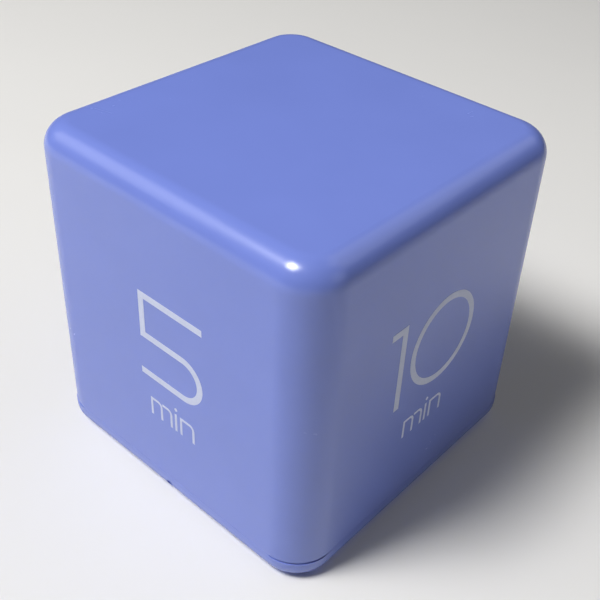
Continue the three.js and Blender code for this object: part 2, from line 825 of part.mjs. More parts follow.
// Board with four holes over the posts
function makeBoard() {
  const plate = solid(prism(roundedOutline(boardWidth, boardWidth, boardCorner), boardHeight, boardTop));
  const holes = postPlaces.map(({ x, y, pinned }) => solid(rod(
    (pinned ? pinRadius : boardShankRadius) + clearance, boardHeight - overrun, boardTop + overrun,
    x, y, smallSteps,
  )));
  piece('main_board', cut(plate, ...holes), boardMask());
}

function makeBoardScrews() {
  postPlaces.filter(({ pinned }) => !pinned).forEach(({ x, y }, index) => {
    const profile = [
      [0, -boardShankLength], [boardShankRadius, -boardShankLength], [boardShankRadius, 0],
      [boardHeadRadius, 0], [boardHeadRadius, boardHeadHeight / 2],
      [boardHeadRadius * headFaceShare, boardHeadHeight], [0, boardHeadHeight],
    ];
    const arm = boardHeadRadius * driveReachShare;
    const drive = driveWidth / 2;
    const top = boardHeadHeight + overrun;
    const screw = cut(solid(turned(profile, smallSteps)),
      solid(box(-arm, arm, -drive, drive, boardHeadHeight / 2, top)),
      solid(box(-drive, drive, -arm, arm, boardHeadHeight / 2, top)));
    piece(`board_screw_${index + 1}`, screw, steel()).position.set(x, y, boardTop);
  });
}

// Places on the board, as shares of half its width
const chipShares = [0.56, 0.56];
const crystalShares = [0.56, 0.3];
const smoothingShares = [-0.6, 0.6];
const coilShares = [-0.56, -0.52];
const transistorShares = [-0.3, 0.62];
const resistorShares = [[0.34, -0.5], [0.34, -0.6], [0.34, -0.7], [0.34, -0.8]];
const capacitorShares = [[0.6, -0.42], [-0.33, -0.36], [-0.33, 0.36]];

function onBoard(mesh, [shareX, shareY]) {
  mesh.position.set(shareX * boardWidth / 2, shareY * boardWidth / 2, boardTop);
  return mesh;
}

// Timer chip: a flat body with bent legs along both sides
function makeChip() {
  const parts = [solid(box(-chipLength / 2, chipLength / 2, -chipWidth / 2, chipWidth / 2,
    legThickness / 2, chipHeight))];
  for (const side of [-1, 1]) {
    for (let k = 0; k < legsPerSide; k += 1) {
      const x = ((2 * k + 1) / legsPerSide - 1) * chipLength / 2;
      const root = side * (chipWidth / 2 - legThickness);
      const knee = side * (chipWidth / 2 + legThickness);
      const toe = side * legSpan / 2;
      const span = (a, b) => [Math.min(a, b), Math.max(a, b)];
      parts.push(solid(box(x - legWidth / 2, x + legWidth / 2, ...span(root, knee + side * legThickness),
        legRise, legRise + legThickness)));
      parts.push(solid(box(x - legWidth / 2, x + legWidth / 2, ...span(knee, knee + side * legThickness),
        0, legRise + legThickness)));
      parts.push(solid(box(x - legWidth / 2, x + legWidth / 2, ...span(knee, toe), 0, legThickness)));
    }
  }
  onBoard(piece('controller_chip', joined(...parts), blackPlastic()), chipShares);
}

function makeBoardParts() {
  onBoard(piece('crystal', prism(roundedOutline(crystalLength, crystalWidth, crystalCorner), 0,
    crystalHeight, 0, 0, outlineSteps), nickel()), crystalShares);
  const r = smoothingRadius;
  const neckHeight = smoothingHeight * smoothingNeckShare;
  onBoard(piece('electrolytic_capacitor', turned([
    [0, 0], [r, 0], [r, neckHeight - smoothingNeck], [r - smoothingNeck, neckHeight],
    [r, neckHeight + smoothingNeck], [r, smoothingHeight - smoothingNeck],
    [r - smoothingNeck, smoothingHeight], [0, smoothingHeight],
  ]), blackPlastic()), smoothingShares);
  onBoard(piece('boost_coil', turned([
    [0, 0], [coilRadius, 0], [coilRadius, coilFlange], [coilWaist, coilFlange],
    [coilWaist, coilHeight - coilFlange], [coilRadius, coilHeight - coilFlange],
    [coilRadius, coilHeight], [0, coilHeight],
  ]), blackPlastic()), coilShares);
  const transistor = joined(
    solid(box(-transistorLength / 2, transistorLength / 2, -transistorWidth / 2, transistorWidth / 2,
      legThickness / 2, transistorHeight)),
    ...[[-1, -1], [1, -1], [0, 1]].map(([kx, ky]) => {
      const x = kx * transistorLength / 3;
      const [y0, y1] = ky > 0 ? [0, transistorWidth] : [-transistorWidth, 0];
      return solid(box(x - legWidth / 2, x + legWidth / 2, y0, y1, 0, legThickness));
    }),
  );
  onBoard(piece('drive_transistor', transistor, blackPlastic()), transistorShares);
  resistorShares.forEach((shares, index) => {
    onBoard(piece(`resistor_${index + 1}`, box(-chipPartLength / 2, chipPartLength / 2,
      -chipPartWidth / 2, chipPartWidth / 2, 0, resistorHeight), blackPlastic()), shares);
  });
  capacitorShares.forEach((shares, index) => {
    onBoard(piece(`ceramic_capacitor_${index + 1}`, box(-chipPartLength / 2, chipPartLength / 2,
      -chipPartWidth / 2, chipPartWidth / 2, 0, capacitorHeight), ceramic()), shares);
  });
}

// Tilt switches: one for each side face, near its edge of the board. Each can leans outward
// and up, so its ball lies at the inner end until its own side of the cube is turned down.
function makeTiltSwitch(number, heading) {
  const group = new THREE.Group();
  const can = turned([
    [0, 0], [tiltRadius, 0], [tiltRadius, tiltLength], [tiltRadius - tiltWall, tiltLength],
    [tiltRadius - tiltWall, tiltWall], [0, tiltWall],
  ], smallSteps);
  piece(`tilt_can_${number}`, can, nickel(), group);
  const plug = tiltRadius - tiltWall - clearance;
  const outerEnd = tiltLength + clearance + tiltBaseThickness;
  const base = turned([
    [0, tiltLength - tiltStem], [plug, tiltLength - tiltStem], [plug, tiltLength + clearance],
    [tiltRadius, tiltLength + clearance], [tiltRadius, outerEnd], [0, outerEnd],
  ], smallSteps);
  const lean = THREE.MathUtils.degToRad(tiltLean);
  const middle = outerEnd - tiltBaseThickness / 2;
  const lift = tiltRadius + clearance;
  const drop = (lift + middle * Math.sin(lean)) / Math.cos(lean) - clearance;
  const pins = [-1, 1].map((side) => {
    const pin = new THREE.CylinderGeometry(tiltPinRadius, tiltPinRadius, drop, smallSteps / 2);
    pin.rotateZ(Math.PI / 2);
    pin.translate(drop / 2, side * tiltPinSpacing / 2, middle);
    return solid(pin);
  });
  piece(`tilt_base_${number}`, joined(solid(base), ...pins), blackPlastic(), group);
  const ball = piece(`tilt_ball_${number}`, new THREE.SphereGeometry(ballRadius, smallSteps, smallSteps / 2),
    steel(), group);
  ball.position.z = tiltWall + clearance + ballRadius;
  group.rotation.set(0, quarter - lean, 0);
  const reach = outerEnd * Math.cos(lean) + tiltRadius * Math.sin(lean);
  group.position.set(boardWidth / 2 - tiltMargin - reach, 0, boardTop + lift);
  const turntable = new THREE.Group();
  turntable.rotation.z = heading;
  turntable.add(group);
  timer.add(turntable);
}

function makeTiltSwitches() {
  corners.forEach((_, turn) => makeTiltSwitch(turn + 1, turn * quarter));
}

// Leads: from a solder point, over the edge of the board or straight to its underside
function makeLead(name, points, material) {
  const curve = new THREE.CatmullRomCurve3(points.map((point) => new THREE.Vector3(...point)));
  piece(name, tube(curve, leadRadius, leadSides, leadSteps), material);
}

function makeLeads() {
  const outside = bayLength / 2 + clearance + leadRadius;
  const padX = boardWidth / 2 - padInset;
  const fromTab = (side) => {
    const tabY = bayMiddle + side * cellOffset;
    const padY = bayMiddle + side * padSpacing / 2;
    return [
      [outside, tabY, bayTop + tabHeight / 2], [outside, (tabY + padY) / 2, boardHeight],
      [outside, padY, boardTop + leadBend / 2], [(outside + padX) / 2, padY, boardTop + leadBend],
      [padX, padY, boardTop + leadBend / 2], [padX, padY, boardTop + clearance],
    ];
  };
  makeLead('battery_lead_red', fromTab(-1), redWire());
  makeLead('battery_lead_black', fromTab(1), blackWire());
  const underside = boardHeight - clearance;
  const sway = 2 * leadRadius;
  const upTo = (x, y, z) => [
    [x, y, z + clearance], [x + sway, y, z + (underside - z) / 3],
    [x - sway, y, z + (underside - z) * 2 / 3], [x, y, underside],
  ];
  const discTop = floorThickness + seatHeight + discThickness;
  const rimMiddle = (ceramicRadius + seatRadius) / 2;
  makeLead('sounder_lead_1', upTo(sounderX, behindBay, discTop + ceramicThickness), redWire());
  makeLead('sounder_lead_2', upTo(sounderX - rimMiddle, behindBay, discTop), blackWire());
  const pinTop = frameTop + terminalPinLength;
  const pinPitch = (frameLength - 2 * frameWall - 2 * clearance) / 3;
  makeLead('switch_lead_1', upTo(switchX - pinPitch, behindBay, pinTop), redWire());
  makeLead('switch_lead_2', upTo(switchX, behindBay, pinTop), redWire());
}

makeShell();
makeCover();
makeDoor();
makeCaseScrews();
makeCells();
makeContacts();
makeSpring('negative_spring', 1);
makeSpring('bridge_spring', -1);
makeSounder();
makeSwitch();
makeBoard();
makeBoardScrews();
makeChip();
makeBoardParts();
makeTiltSwitches();
makeLeads();

console.log(`least gap between turns of a contact spring: ${springGap().toFixed(2)} mm`);

export default timer;
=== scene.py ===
"""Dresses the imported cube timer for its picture.

The case, its printing, the battery door, the screws, the switch knob, the cells and the contact
springs are modelled here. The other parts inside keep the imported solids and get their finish.
Lengths are millimetres and angles degrees, and change only where they reach Blender.
"""
import json
import logging
import math
from dataclasses import dataclass
from enum import Enum
from typing import Any, Callable, Optional, Sequence

import bmesh
import bpy
from mathutils import Matrix, Vector


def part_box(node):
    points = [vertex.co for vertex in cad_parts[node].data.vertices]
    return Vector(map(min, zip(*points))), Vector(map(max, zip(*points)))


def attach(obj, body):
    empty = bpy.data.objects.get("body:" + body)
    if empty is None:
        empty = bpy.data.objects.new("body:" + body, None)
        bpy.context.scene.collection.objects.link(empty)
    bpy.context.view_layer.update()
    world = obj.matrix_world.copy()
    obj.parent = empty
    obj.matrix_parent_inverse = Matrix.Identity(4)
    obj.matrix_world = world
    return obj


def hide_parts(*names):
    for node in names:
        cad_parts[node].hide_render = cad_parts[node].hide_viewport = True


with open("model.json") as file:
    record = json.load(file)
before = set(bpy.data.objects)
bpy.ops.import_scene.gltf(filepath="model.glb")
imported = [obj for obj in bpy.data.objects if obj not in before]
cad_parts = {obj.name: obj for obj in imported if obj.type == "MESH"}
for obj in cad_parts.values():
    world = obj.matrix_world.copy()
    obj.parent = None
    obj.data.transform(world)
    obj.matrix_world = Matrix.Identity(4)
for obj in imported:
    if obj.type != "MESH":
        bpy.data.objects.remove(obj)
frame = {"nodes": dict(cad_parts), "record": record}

MM = 0.001
LOG = logging.getLogger("cube_timer")
CORNERS = [(x, y) for x in (-1, 1) for y in (-1, 1)]

Item = Any
Test = Callable[[Item], bool]
Piece = bpy.types.Object
Material = bpy.types.Material
Span = tuple[float, float]
Triple = tuple[float, float, float]
Colour = Triple

NICKEL: Colour = (0.62, 0.6, 0.55)


class Part(Enum):
    """What is picked on a mesh."""

    CORNER = "VERT"
    EDGE = "EDGE"
    FACE = "FACE"


class Combine(Enum):
    """How one solid changes another."""

    JOIN = "UNION"
    CUT = "DIFFERENCE"


class Side(Enum):
    """A side face of the cube, with its turn from the face with the 5."""

    FIVE = 0
    TEN = 90
    TWENTY = 180
    FIFTEEN = 270


class Digit(Enum):
    """A digit that is printed."""

    NOUGHT = "nought"
    ONE = "one"
    TWO = "two"
    FIVE = "five"


def spot(item: Item) -> Vector:
    """Give the middle of a corner, edge or face in edit mode, in millimetres."""
    corners = [item] if isinstance(item, bmesh.types.BMVert) else item.verts
    return sum((corner.co for corner in corners), Vector()) / (len(corners) * MM)


def near(value: float, aim: float, slack: float = 0.004) -> bool:
    """Tell whether a length is at its aim."""
    return abs(value - aim) < slack


def at_height(edge: Item, height: float) -> bool:
    """Tell whether both ends of an edge are at one height."""
    return all(near(corner.co.z / MM, height) for corner in edge.verts)


def upright(edge: Item) -> bool:
    """Tell whether an edge runs straight up."""
    run = (edge.verts[1].co - edge.verts[0].co) / MM
    return abs(run.z) > 0.01 and math.hypot(run.x, run.y) < 0.001


def sharp(edge: Item, degrees: float) -> bool:
    """Tell whether the two faces at an edge meet at more than an angle."""
    return len(edge.link_faces) == 2 and edge.calc_face_angle(0.0) > math.radians(degrees)


def about(middle: float, reach: float) -> Span:
    """Give the span that reaches equally far to both sides of a middle."""
    return middle - reach, middle + reach


def beside(side: int, first: float, second: float) -> Span:
    """Give the span between two places on one side of zero, from low to high."""
    return min(side * first, side * second), max(side * first, side * second)


def moved(x: float, y: float, z: float) -> Matrix:
    """Give a move."""
    return Matrix.Translation((x * MM, y * MM, z * MM))


def rotated(degrees: float, axis: str) -> Matrix:
    """Give a turn about an axis through the origin."""
    return Matrix.Rotation(math.radians(degrees), 4, axis)


def shade(colour: Colour, share: float) -> Colour:
    """Make a colour darker or lighter by a share of itself."""
    return tuple(min(part * share, 1.0) for part in colour)


class Bench:
    """The moves of the modelling bench."""

    MERGE = 0.0008 * MM
    LEVEL = math.radians(0.2)
    SMOOTH = math.radians(32.0)

    @staticmethod
    def clear() -> None:
        """Leave edit mode with nothing selected."""
        active = bpy.context.view_layer.objects.active
        if active is not None and active.mode == "EDIT":
            bpy.ops.object.mode_set(mode="OBJECT")
        bpy.ops.object.select_all(action="DESELECT")

    @staticmethod
    def hold(*pieces: Piece) -> None:
        """Select pieces alone, with the first of them active.

        Args:
            *pieces: The pieces.
        """
        Bench.clear()
        for piece in pieces:
            piece.select_set(True)
        bpy.context.view_layer.objects.active = pieces[0]

    @staticmethod
    def open(piece: Piece, part: Part) -> None:
        """Open a piece in edit mode with all of it selected.

        Args:
            piece: The piece.
            part: What is picked from here on.
        """
        Bench.hold(piece)
        bpy.ops.object.mode_set(mode="EDIT")
        bpy.ops.mesh.select_mode(type=part.value)
        bpy.ops.mesh.select_all(action="SELECT")

    @staticmethod
    def pick(piece: Piece, part: Part, test: Test) -> None:
        """Open a piece in edit mode with the parts picked that a test accepts.

        Args:
            piece: The piece.
            part: Corners, edges or faces.
            test: Says of each of them whether it is picked.
        """
        Bench.open(piece, part)
        bpy.ops.mesh.select_all(action="DESELECT")
        mesh = bmesh.from_edit_mesh(piece.data)
        items = {Part.CORNER: mesh.verts, Part.EDGE: mesh.edges, Part.FACE: mesh.faces}[part]
        for item in items:
            if test(item):
                item.select_set(True)
        mesh.select_flush_mode()
        bmesh.update_edit_mesh(piece.data)

    @staticmethod
    def outward(piece: Piece) -> Piece:
        """Point all faces of a closed piece outward.

        Args:
            piece: The piece.

        Returns:
            The same piece.
        """
        Bench.open(piece, Part.FACE)
        bpy.ops.mesh.normals_make_consistent(inside=False)
        Bench.clear()
        return piece

    @staticmethod
    def settle(piece: Piece, place: Optional[Matrix] = None) -> Piece:
        """Put a piece in a place, and its place, turn and size into its mesh.

        Args:
            piece: The piece.
            place: Where it goes, in metres. Without it, the piece stays where it is.

        Returns:
            The same piece, at the origin.
        """
        if place is not None:
            piece.matrix_world = place
        Bench.hold(piece)
        bpy.ops.object.transform_apply(location=True, rotation=True, scale=True)
        return piece

    @staticmethod
    def block(x: Span, y: Span, z: Span, corner: float = 0.0, steps: int = 0) -> Piece:
        """Add a block between two ends along each axis.

        Args:
            x: Its ends along X.
            y: Its ends along Y.
            z: Its ends along Z.
            corner: Radius of its upright edges, if they are round.
            steps: Facets round each of them.

        Returns:
            The block.
        """
        Bench.clear()
        middle = [sum(span) / 2 * MM for span in (x, y, z)]
        size = [(span[1] - span[0]) * MM for span in (x, y, z)]
        bpy.ops.mesh.primitive_cube_add(size=1, location=middle, scale=size)
        piece = Bench.settle(bpy.context.object)
        if corner:
            Bench.bevel(piece, corner, steps, upright)
        return piece

    @staticmethod
    def rod(radius: float, z: Span, x: float, y: float, sides: int = 28) -> Piece:
        """Add an upright round bar.

        Args:
            radius: Its radius.
            z: Its two ends.
            x: Place of its axis along X.
            y: Place of its axis along Y.
            sides: Facets round it.

        Returns:
            The bar.
        """
        Bench.clear()
        bpy.ops.mesh.primitive_cylinder_add(
            vertices=sides, radius=radius * MM, depth=(z[1] - z[0]) * MM,
            location=(x * MM, y * MM, sum(z) / 2 * MM))
        return Bench.settle(bpy.context.object)

    @staticmethod
    def disc(radius: float, sides: int, place: Triple) -> Piece:
        """Add a flat disc.

        Args:
            radius: Its radius.
            sides: Corners round it.
            place: Its middle.

        Returns:
            The disc.
        """
        Bench.clear()
        bpy.ops.mesh.primitive_circle_add(vertices=sides, radius=radius * MM, fill_type="NGON",
                                          location=[part * MM for part in place])
        return Bench.settle(bpy.context.object)

    @staticmethod
    def turned(profile: Sequence[Span], sides: int) -> Piece:
        """Turn a shape about the Z axis, drawn out ring by ring from a disc.

        Args:
            profile: Pairs of radius and height, from one end to the other.
            sides: Facets round it.

        Returns:
            The turned piece.
        """
        radius, height = profile[0]
        piece = Bench.disc(radius, sides, (0, 0, height))
        Bench.open(piece, Part.FACE)
        for wider, higher in profile[1:]:
            bpy.ops.mesh.extrude_region_move(
                TRANSFORM_OT_translate={"value": (0, 0, (higher - height) * MM)})
            share = wider / radius
            bpy.ops.transform.resize(value=(share, share, 1), center_override=(0, 0, higher * MM))
            radius, height = wider, higher
        return Bench.outward(piece)

    @staticmethod
    def wind(sides: int, section: Matrix, turns: float, climb: float, steps: int) -> Piece:
        """Wind a wire about the Z axis, closed at both ends.

        Args:
            sides: Corners of its section.
            section: Carries a circle of one metre to the wire's first section.
            turns: How often it goes round.
            climb: How far it climbs in all.
            steps: Sections in a turn.

        Returns:
            The wire.
        """
        Bench.clear()
        bpy.ops.mesh.primitive_circle_add(vertices=sides, radius=1, fill_type="NOTHING")
        wire = Bench.settle(bpy.context.object, section)
        count = round(steps * turns)
        Bench.modify(wire, "SCREW", angle=2 * math.pi * turns, screw_offset=climb * MM,
                     steps=count, render_steps=count, use_merge_vertices=False)
        Bench.pick(wire, Part.EDGE, lambda edge: edge.is_boundary)
        bpy.ops.mesh.fill()
        return Bench.outward(wire)

    @staticmethod
    def modify(piece: Piece, kind: str, **settings: Any) -> None:
        """Put a modifier on a piece and apply it.

        Args:
            piece: The piece.
            kind: The modifier's type.
            **settings: Its settings.
        """
        modifier = piece.modifiers.new("form", kind)
        for name, value in settings.items():
            setattr(modifier, name, value)
        Bench.hold(piece)
        bpy.ops.object.modifier_apply(modifier=modifier.name)

    @staticmethod
    def bevel(piece: Piece, width: float, steps: int, test: Test) -> None:
        """Round or break the edges of a piece that a test accepts.

        Args:
            piece: The piece.
            width: How far the rounding reaches from the edge.
            steps: Facets across it.
            test: Says of each edge whether it is rounded.
        """
        Bench.pick(piece, Part.EDGE, test)
        bpy.ops.mesh.bevel(offset=width * MM, offset_type="OFFSET", segments=steps, profile=0.5,
                           affect="EDGES", clamp_overlap=True)
        Bench.clear()

    @staticmethod
    def lift_corners(piece: Piece, rim: float, start: float, rise: float) -> None:
        """Lift the rim of a square piece round its four corners.

        Args:
            piece: The piece.
            rim: Height of the rim.
            start: How far out the corners begin, along both sides.
            rise: How far they are lifted.
        """
        Bench.pick(piece, Part.CORNER, lambda item: near(spot(item).z, rim)
                   and min(abs(spot(item).x), abs(spot(item).y)) > start)
        bpy.ops.transform.translate(value=(0, 0, rise * MM))
        Bench.clear()

    @staticmethod
    def combine(piece: Piece, how: Combine, tools: Sequence[Piece]) -> Piece:
        """Join tools to a piece, or cut them out of it, one by one. They are used up.

        Args:
            piece: The piece.
            how: Join or cut.
            tools: One or more solids, which may overlap each other.

        Returns:
            The changed piece.
        """
        for tool in tools:
            Bench.modify(piece, "BOOLEAN", object=tool, operation=how.value, solver="EXACT")
            Bench.discard(tool)
        return piece

    @staticmethod
    def join(*pieces: Piece) -> Piece:
        """Make one piece of several, which stay shells of their own.

        Args:
            *pieces: The pieces.

        Returns:
            The first of them, with the others in it.
        """
        Bench.hold(*pieces)
        if len(pieces) > 1:
            bpy.ops.object.join()
        return bpy.context.object

    @staticmethod
    def discard(piece: Piece) -> None:
        """Take away a piece that was used up, by way of its mesh."""
        bpy.data.meshes.remove(piece.data)

    @staticmethod
    def tidy(piece: Piece) -> None:
        """Merge doubles, point all faces outward and shade the rounded parts smooth.

        Args:
            piece: The piece.
        """
        Bench.open(Bench.settle(piece), Part.CORNER)
        bpy.ops.mesh.remove_doubles(threshold=Bench.MERGE)
        bpy.ops.mesh.dissolve_degenerate(threshold=Bench.MERGE)
        bpy.ops.mesh.dissolve_limited(angle_limit=Bench.LEVEL, delimit={"MATERIAL"})
        bpy.ops.mesh.normals_make_consistent(inside=False)
        bpy.ops.object.mode_set(mode="OBJECT")
        bpy.ops.object.shade_smooth_by_angle(angle=Bench.SMOOTH)
        Bench.modify(piece, "WEIGHTED_NORMAL", keep_sharp=True, weight=100)

    @staticmethod
    def hand_over(piece: Piece, name: str, finish: Material, slot: str, body: str = "case",
                  stands_for: str = "") -> None:
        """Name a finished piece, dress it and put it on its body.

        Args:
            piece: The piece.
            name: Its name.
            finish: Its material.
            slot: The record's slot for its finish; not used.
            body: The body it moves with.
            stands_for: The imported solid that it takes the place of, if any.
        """
        Bench.tidy(piece)
        piece.name = piece.data.name = name
        if not piece.data.materials:
            piece.data.materials.append(finish)
        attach(piece, body)
        if stands_for:
            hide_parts(stands_for)
        LOG.info("%s: %d faces", name, len(piece.data.polygons))

    @staticmethod
    def stand_in(model: Piece, place: Matrix, node: str, finish: Material, slot: str) -> None:
        """Put a copy of a model, with its own mesh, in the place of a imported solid.

        Args:
            model: The model.
            place: Where the copy goes.
            node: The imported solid.
            finish: Its material.
            slot: The record's slot for its finish.
        """
        Bench.hold(model)
        bpy.ops.object.duplicate(linked=False)
        twin = Bench.settle(bpy.context.object, place)
        Bench.hand_over(twin, "dressed_" + node, finish, slot, stands_for=node)


class Wire:
    """A node's output, which can be reckoned with like a number."""

    def __init__(self, graph: "Graph", socket: bpy.types.NodeSocket) -> None:
        """Take the output of a node."""
        self.graph, self.socket = graph, socket

    def do(self, operation: str, other: Any = 0.0) -> "Wire":
        """Reckon with this value and a number or wire."""
        return self.graph.add("Math", {0: self, 1: other}, operation=operation)[0]

    def __add__(self, other: Any) -> "Wire":
        """Add a number or wire."""
        return self.do("ADD", other)

    def __sub__(self, other: Any) -> "Wire":
        """Take away a number or wire."""
        return self.do("SUBTRACT", other)

    def __mul__(self, other: Any) -> "Wire":
        """Multiply by a number or wire."""
        return self.do("MULTIPLY", other)

    def __abs__(self) -> "Wire":
        """Drop the sign."""
        return self.do("ABSOLUTE")

    def remap(self, low: float, high: float, bottom: float = 0.0, top: float = 1.0) -> "Wire":
        """Carry a range of values over to another range, and stop at its ends."""
        return self.graph.add("MapRange", {"Value": self, "From Min": low, "From Max": high,
                                           "To Min": bottom, "To Max": top})["Result"]

    def blend(self, first: Any, second: Any) -> "Wire":
        """Blend two colours, with this value as the share of the second."""
        return self.graph.add("Mix", {0: self, 6: first, 7: second}, data_type="RGBA")[2]


class Fitting:
    """A node, whose outputs are taken by name or number."""

    def __init__(self, graph: "Graph", node: bpy.types.Node) -> None:
        """Take a node of a graph."""
        self.graph, self.node = graph, node

    def __getitem__(self, key: Any) -> Wire:
        """Give an output."""
        return Wire(self.graph, self.node.outputs[key])


class Graph:
    """A node tree with short ways to add and wire its nodes."""

    def __init__(self, tree: bpy.types.NodeTree) -> None:
        """Take a node tree and empty it."""
        self.tree = tree
        self.tree.nodes.clear()

    def add(self, kind: str, inputs: Optional[dict[Any, Any]] = None, **settings: Any) -> Fitting:
        """Add a node.

        Args:
            kind: Its type, without the word that all shader nodes share.
            inputs: Values, colours or wires, by input name or number.
            **settings: Its other settings.

        Returns:
            The node.
        """
        node = self.tree.nodes.new("ShaderNode" + kind)
        for name, value in settings.items():
            setattr(node, name, value)
        for key, value in (inputs or {}).items():
            socket = node.inputs[key]
            if isinstance(value, Wire):
                self.tree.links.new(value.socket, socket)
            else:
                socket.default_value = (*value, 1.0) if socket.type == "RGBA" else value
        return Fitting(self, node)

    def surface(self, height: Wire, relief: float, depth: float,
                inputs: dict[str, Any]) -> Fitting:
        """Add a shader whose bump has a height, a strength and a depth."""
        bump = self.add("Bump", {"Strength": relief, "Distance": depth * MM, "Height": height})
        return self.add("BsdfPrincipled", {**inputs, "Normal": bump["Normal"]})

    def place(self, stretch: Triple = (1.0, 1.0, 1.0), turn: Triple = (0.0, 0.0, 0.0)) -> Wire:
        """Give the place on the object in millimetres.

        Args:
            stretch: How far it is stretched along the axes, after the turn.
            turn: How far it is turned about the axes.

        Returns:
            The place.
        """
        here = self.add("TexCoord")["Object"]
        if any(turn):
            angles = tuple(map(math.radians, turn))
            here = self.add("Mapping", {"Vector": here, "Rotation": angles})["Vector"]
        scale = tuple(share / MM for share in stretch)
        return self.add("Mapping", {"Vector": here, "Scale": scale})["Vector"]

    def here(self) -> Fitting:
        """Give the place on the object split into X, Y and Z."""
        return self.add("SeparateXYZ", {0: self.place()})

    def noise(self, where: Wire, scale: Any, detail: float = 2.0, rough: float = 0.5) -> Wire:
        """Add noise from 0 to 1, with so many features a millimetre and layers of detail."""
        return self.add("TexNoise", {"Vector": where, "Scale": scale, "Detail": detail,
                                     "Roughness": rough})["Fac"]


class Group:
    """A shader group, with inputs of its own."""

    def __init__(self, name: str, **inputs: float) -> None:
        """Start the group.

        Args:
            name: Its name.
            **inputs: Its inputs with their usual values.
        """
        self.tree = bpy.data.node_groups.new(name, "ShaderNodeTree")
        self.graph = Graph(self.tree)
        for label, value in inputs.items():
            self._socket(label, "INPUT").default_value = value
        self.entry = Fitting(self.graph, self.tree.nodes.new("NodeGroupInput"))

    def _socket(self, label: str, way: str) -> Any:
        """Declare an input or output."""
        return self.tree.interface.new_socket(name=label, in_out=way,
                                              socket_type="NodeSocketFloat")

    def close(self, **outputs: Wire) -> "Group":
        """Declare and wire the outputs.

        Args:
            **outputs: The outputs by name.

        Returns:
            The same group.
        """
        for label in outputs:
            self._socket(label, "OUTPUT")
        leave = self.tree.nodes.new("NodeGroupOutput")
        for label, wire in outputs.items():
            self.tree.links.new(wire.socket, leave.inputs[label])
        return self

    def use(self, graph: Graph, **values: float) -> Fitting:
        """Place the group in a material, with values for its inputs."""
        return graph.add("Group", values, node_tree=self.tree)


class Effects:
    """The shader groups that several finishes share, each built once."""

    def __init__(self) -> None:
        """Build all groups."""
        self.grain = self._grain()
        self.wear = self._wear()
        self.dust = self._dust()
        self.hairlines = self._hairlines()

    @staticmethod
    def _grain() -> Group:
        """Build the fine grain of a moulded or cast surface.

        Returns:
            The group.
        """
        group = Group("surface grain", Fineness=3.0, Clouding=0.08)
        graph, where = group.graph, group.graph.place()
        fine = graph.noise(where, group.entry["Fineness"], 3.0, 0.6)
        cloud = graph.noise(where, group.entry["Clouding"])
        return group.close(Height=fine, Tone=cloud.remap(0.15, 0.85))

    @staticmethod
    def _wear() -> Group:
        """Build the polish that hands leave along edges.

        Returns:
            The group.
        """
        group = Group("edge wear", Reach=0.0006, Amount=1.0)
        graph = group.graph
        rounded = graph.add("Bevel", {"Radius": group.entry["Reach"]}, samples=4)["Normal"]
        plain = graph.add("NewGeometry")["Normal"]
        facing = graph.add("VectorMath", {0: rounded, 1: plain}, operation="DOT_PRODUCT")["Value"]
        broken = graph.noise(graph.place(), 0.9, 3.0, 0.6).remap(0.35, 0.62, 0.15, 1.0)
        return group.close(Mask=facing.remap(1.0, 0.86) * broken * group.entry["Amount"])

    @staticmethod
    def _dust() -> Group:
        """Build the dust that settles on faces that look up.

        Returns:
            The group.
        """
        group = Group("settled dust", Amount=0.5)
        graph, where = group.graph, group.graph.place()
        up = graph.add("SeparateXYZ", {0: graph.add("NewGeometry")["Normal"]})["Z"]
        specks = graph.noise(where, 1.7, 2.0, 0.7).remap(0.68, 0.74)
        film = graph.noise(where, 0.12, 3.0, 0.6).remap(0.35, 0.8, 0.0, 0.35)
        both = specks.do("MAXIMUM", film)
        return group.close(Mask=up.remap(0.5, 0.98) * both * group.entry["Amount"])

    @staticmethod
    def _hairlines() -> Group:
        """Build fine scratches that run three ways.

        Returns:
            The group.
        """
        group = Group("hairlines", Fineness=1.2, Share=0.5)
        graph, thin = group.graph, 0.015
        first, second, third = (
            graph.noise(graph.place(stretch, turn), group.entry["Fineness"], 1.0, 0.4)
            .remap(0.7, 0.76)
            for stretch, turn in (((1.0, 1.0, thin), (14.0, -9.0, 0.0)),
                                  ((1.0, thin, 1.0), (0.0, -25.0, 31.0)),
                                  ((thin, 1.0, 1.0), (12.0, 0.0, -17.0))))
        lines = first.do("MAXIMUM", second).do("MAXIMUM", third)
        patch = graph.noise(graph.place(), 0.06).remap(0.42, 0.6)
        return group.close(Mask=lines * patch * group.entry["Share"])


@dataclass(frozen=True)
class Finish:
    """A named finish of one main colour."""

    name: str
    colour: Colour

    def make(self, effects: Effects) -> Material:
        """Build the material.

        Args:
            effects: The shared groups.

        Returns:
            The material.
        """
        material = bpy.data.materials.new(self.name)
        material.use_nodes = True
        graph = Graph(material.node_tree)
        graph.add("OutputMaterial", {"Surface": self._shader(graph, effects)[0]})
        return material

    def _shader(self, graph: Graph, effects: Effects) -> Fitting:
        """Build the shader. Each finish has its own.

        Args:
            graph: The material's graph.
            effects: The shared groups.

        Returns:
            The shader.
        """
        raise NotImplementedError

    def _tint(self, share: float) -> Colour:
        """Give the main colour made darker or lighter."""
        return shade(self.colour, share)


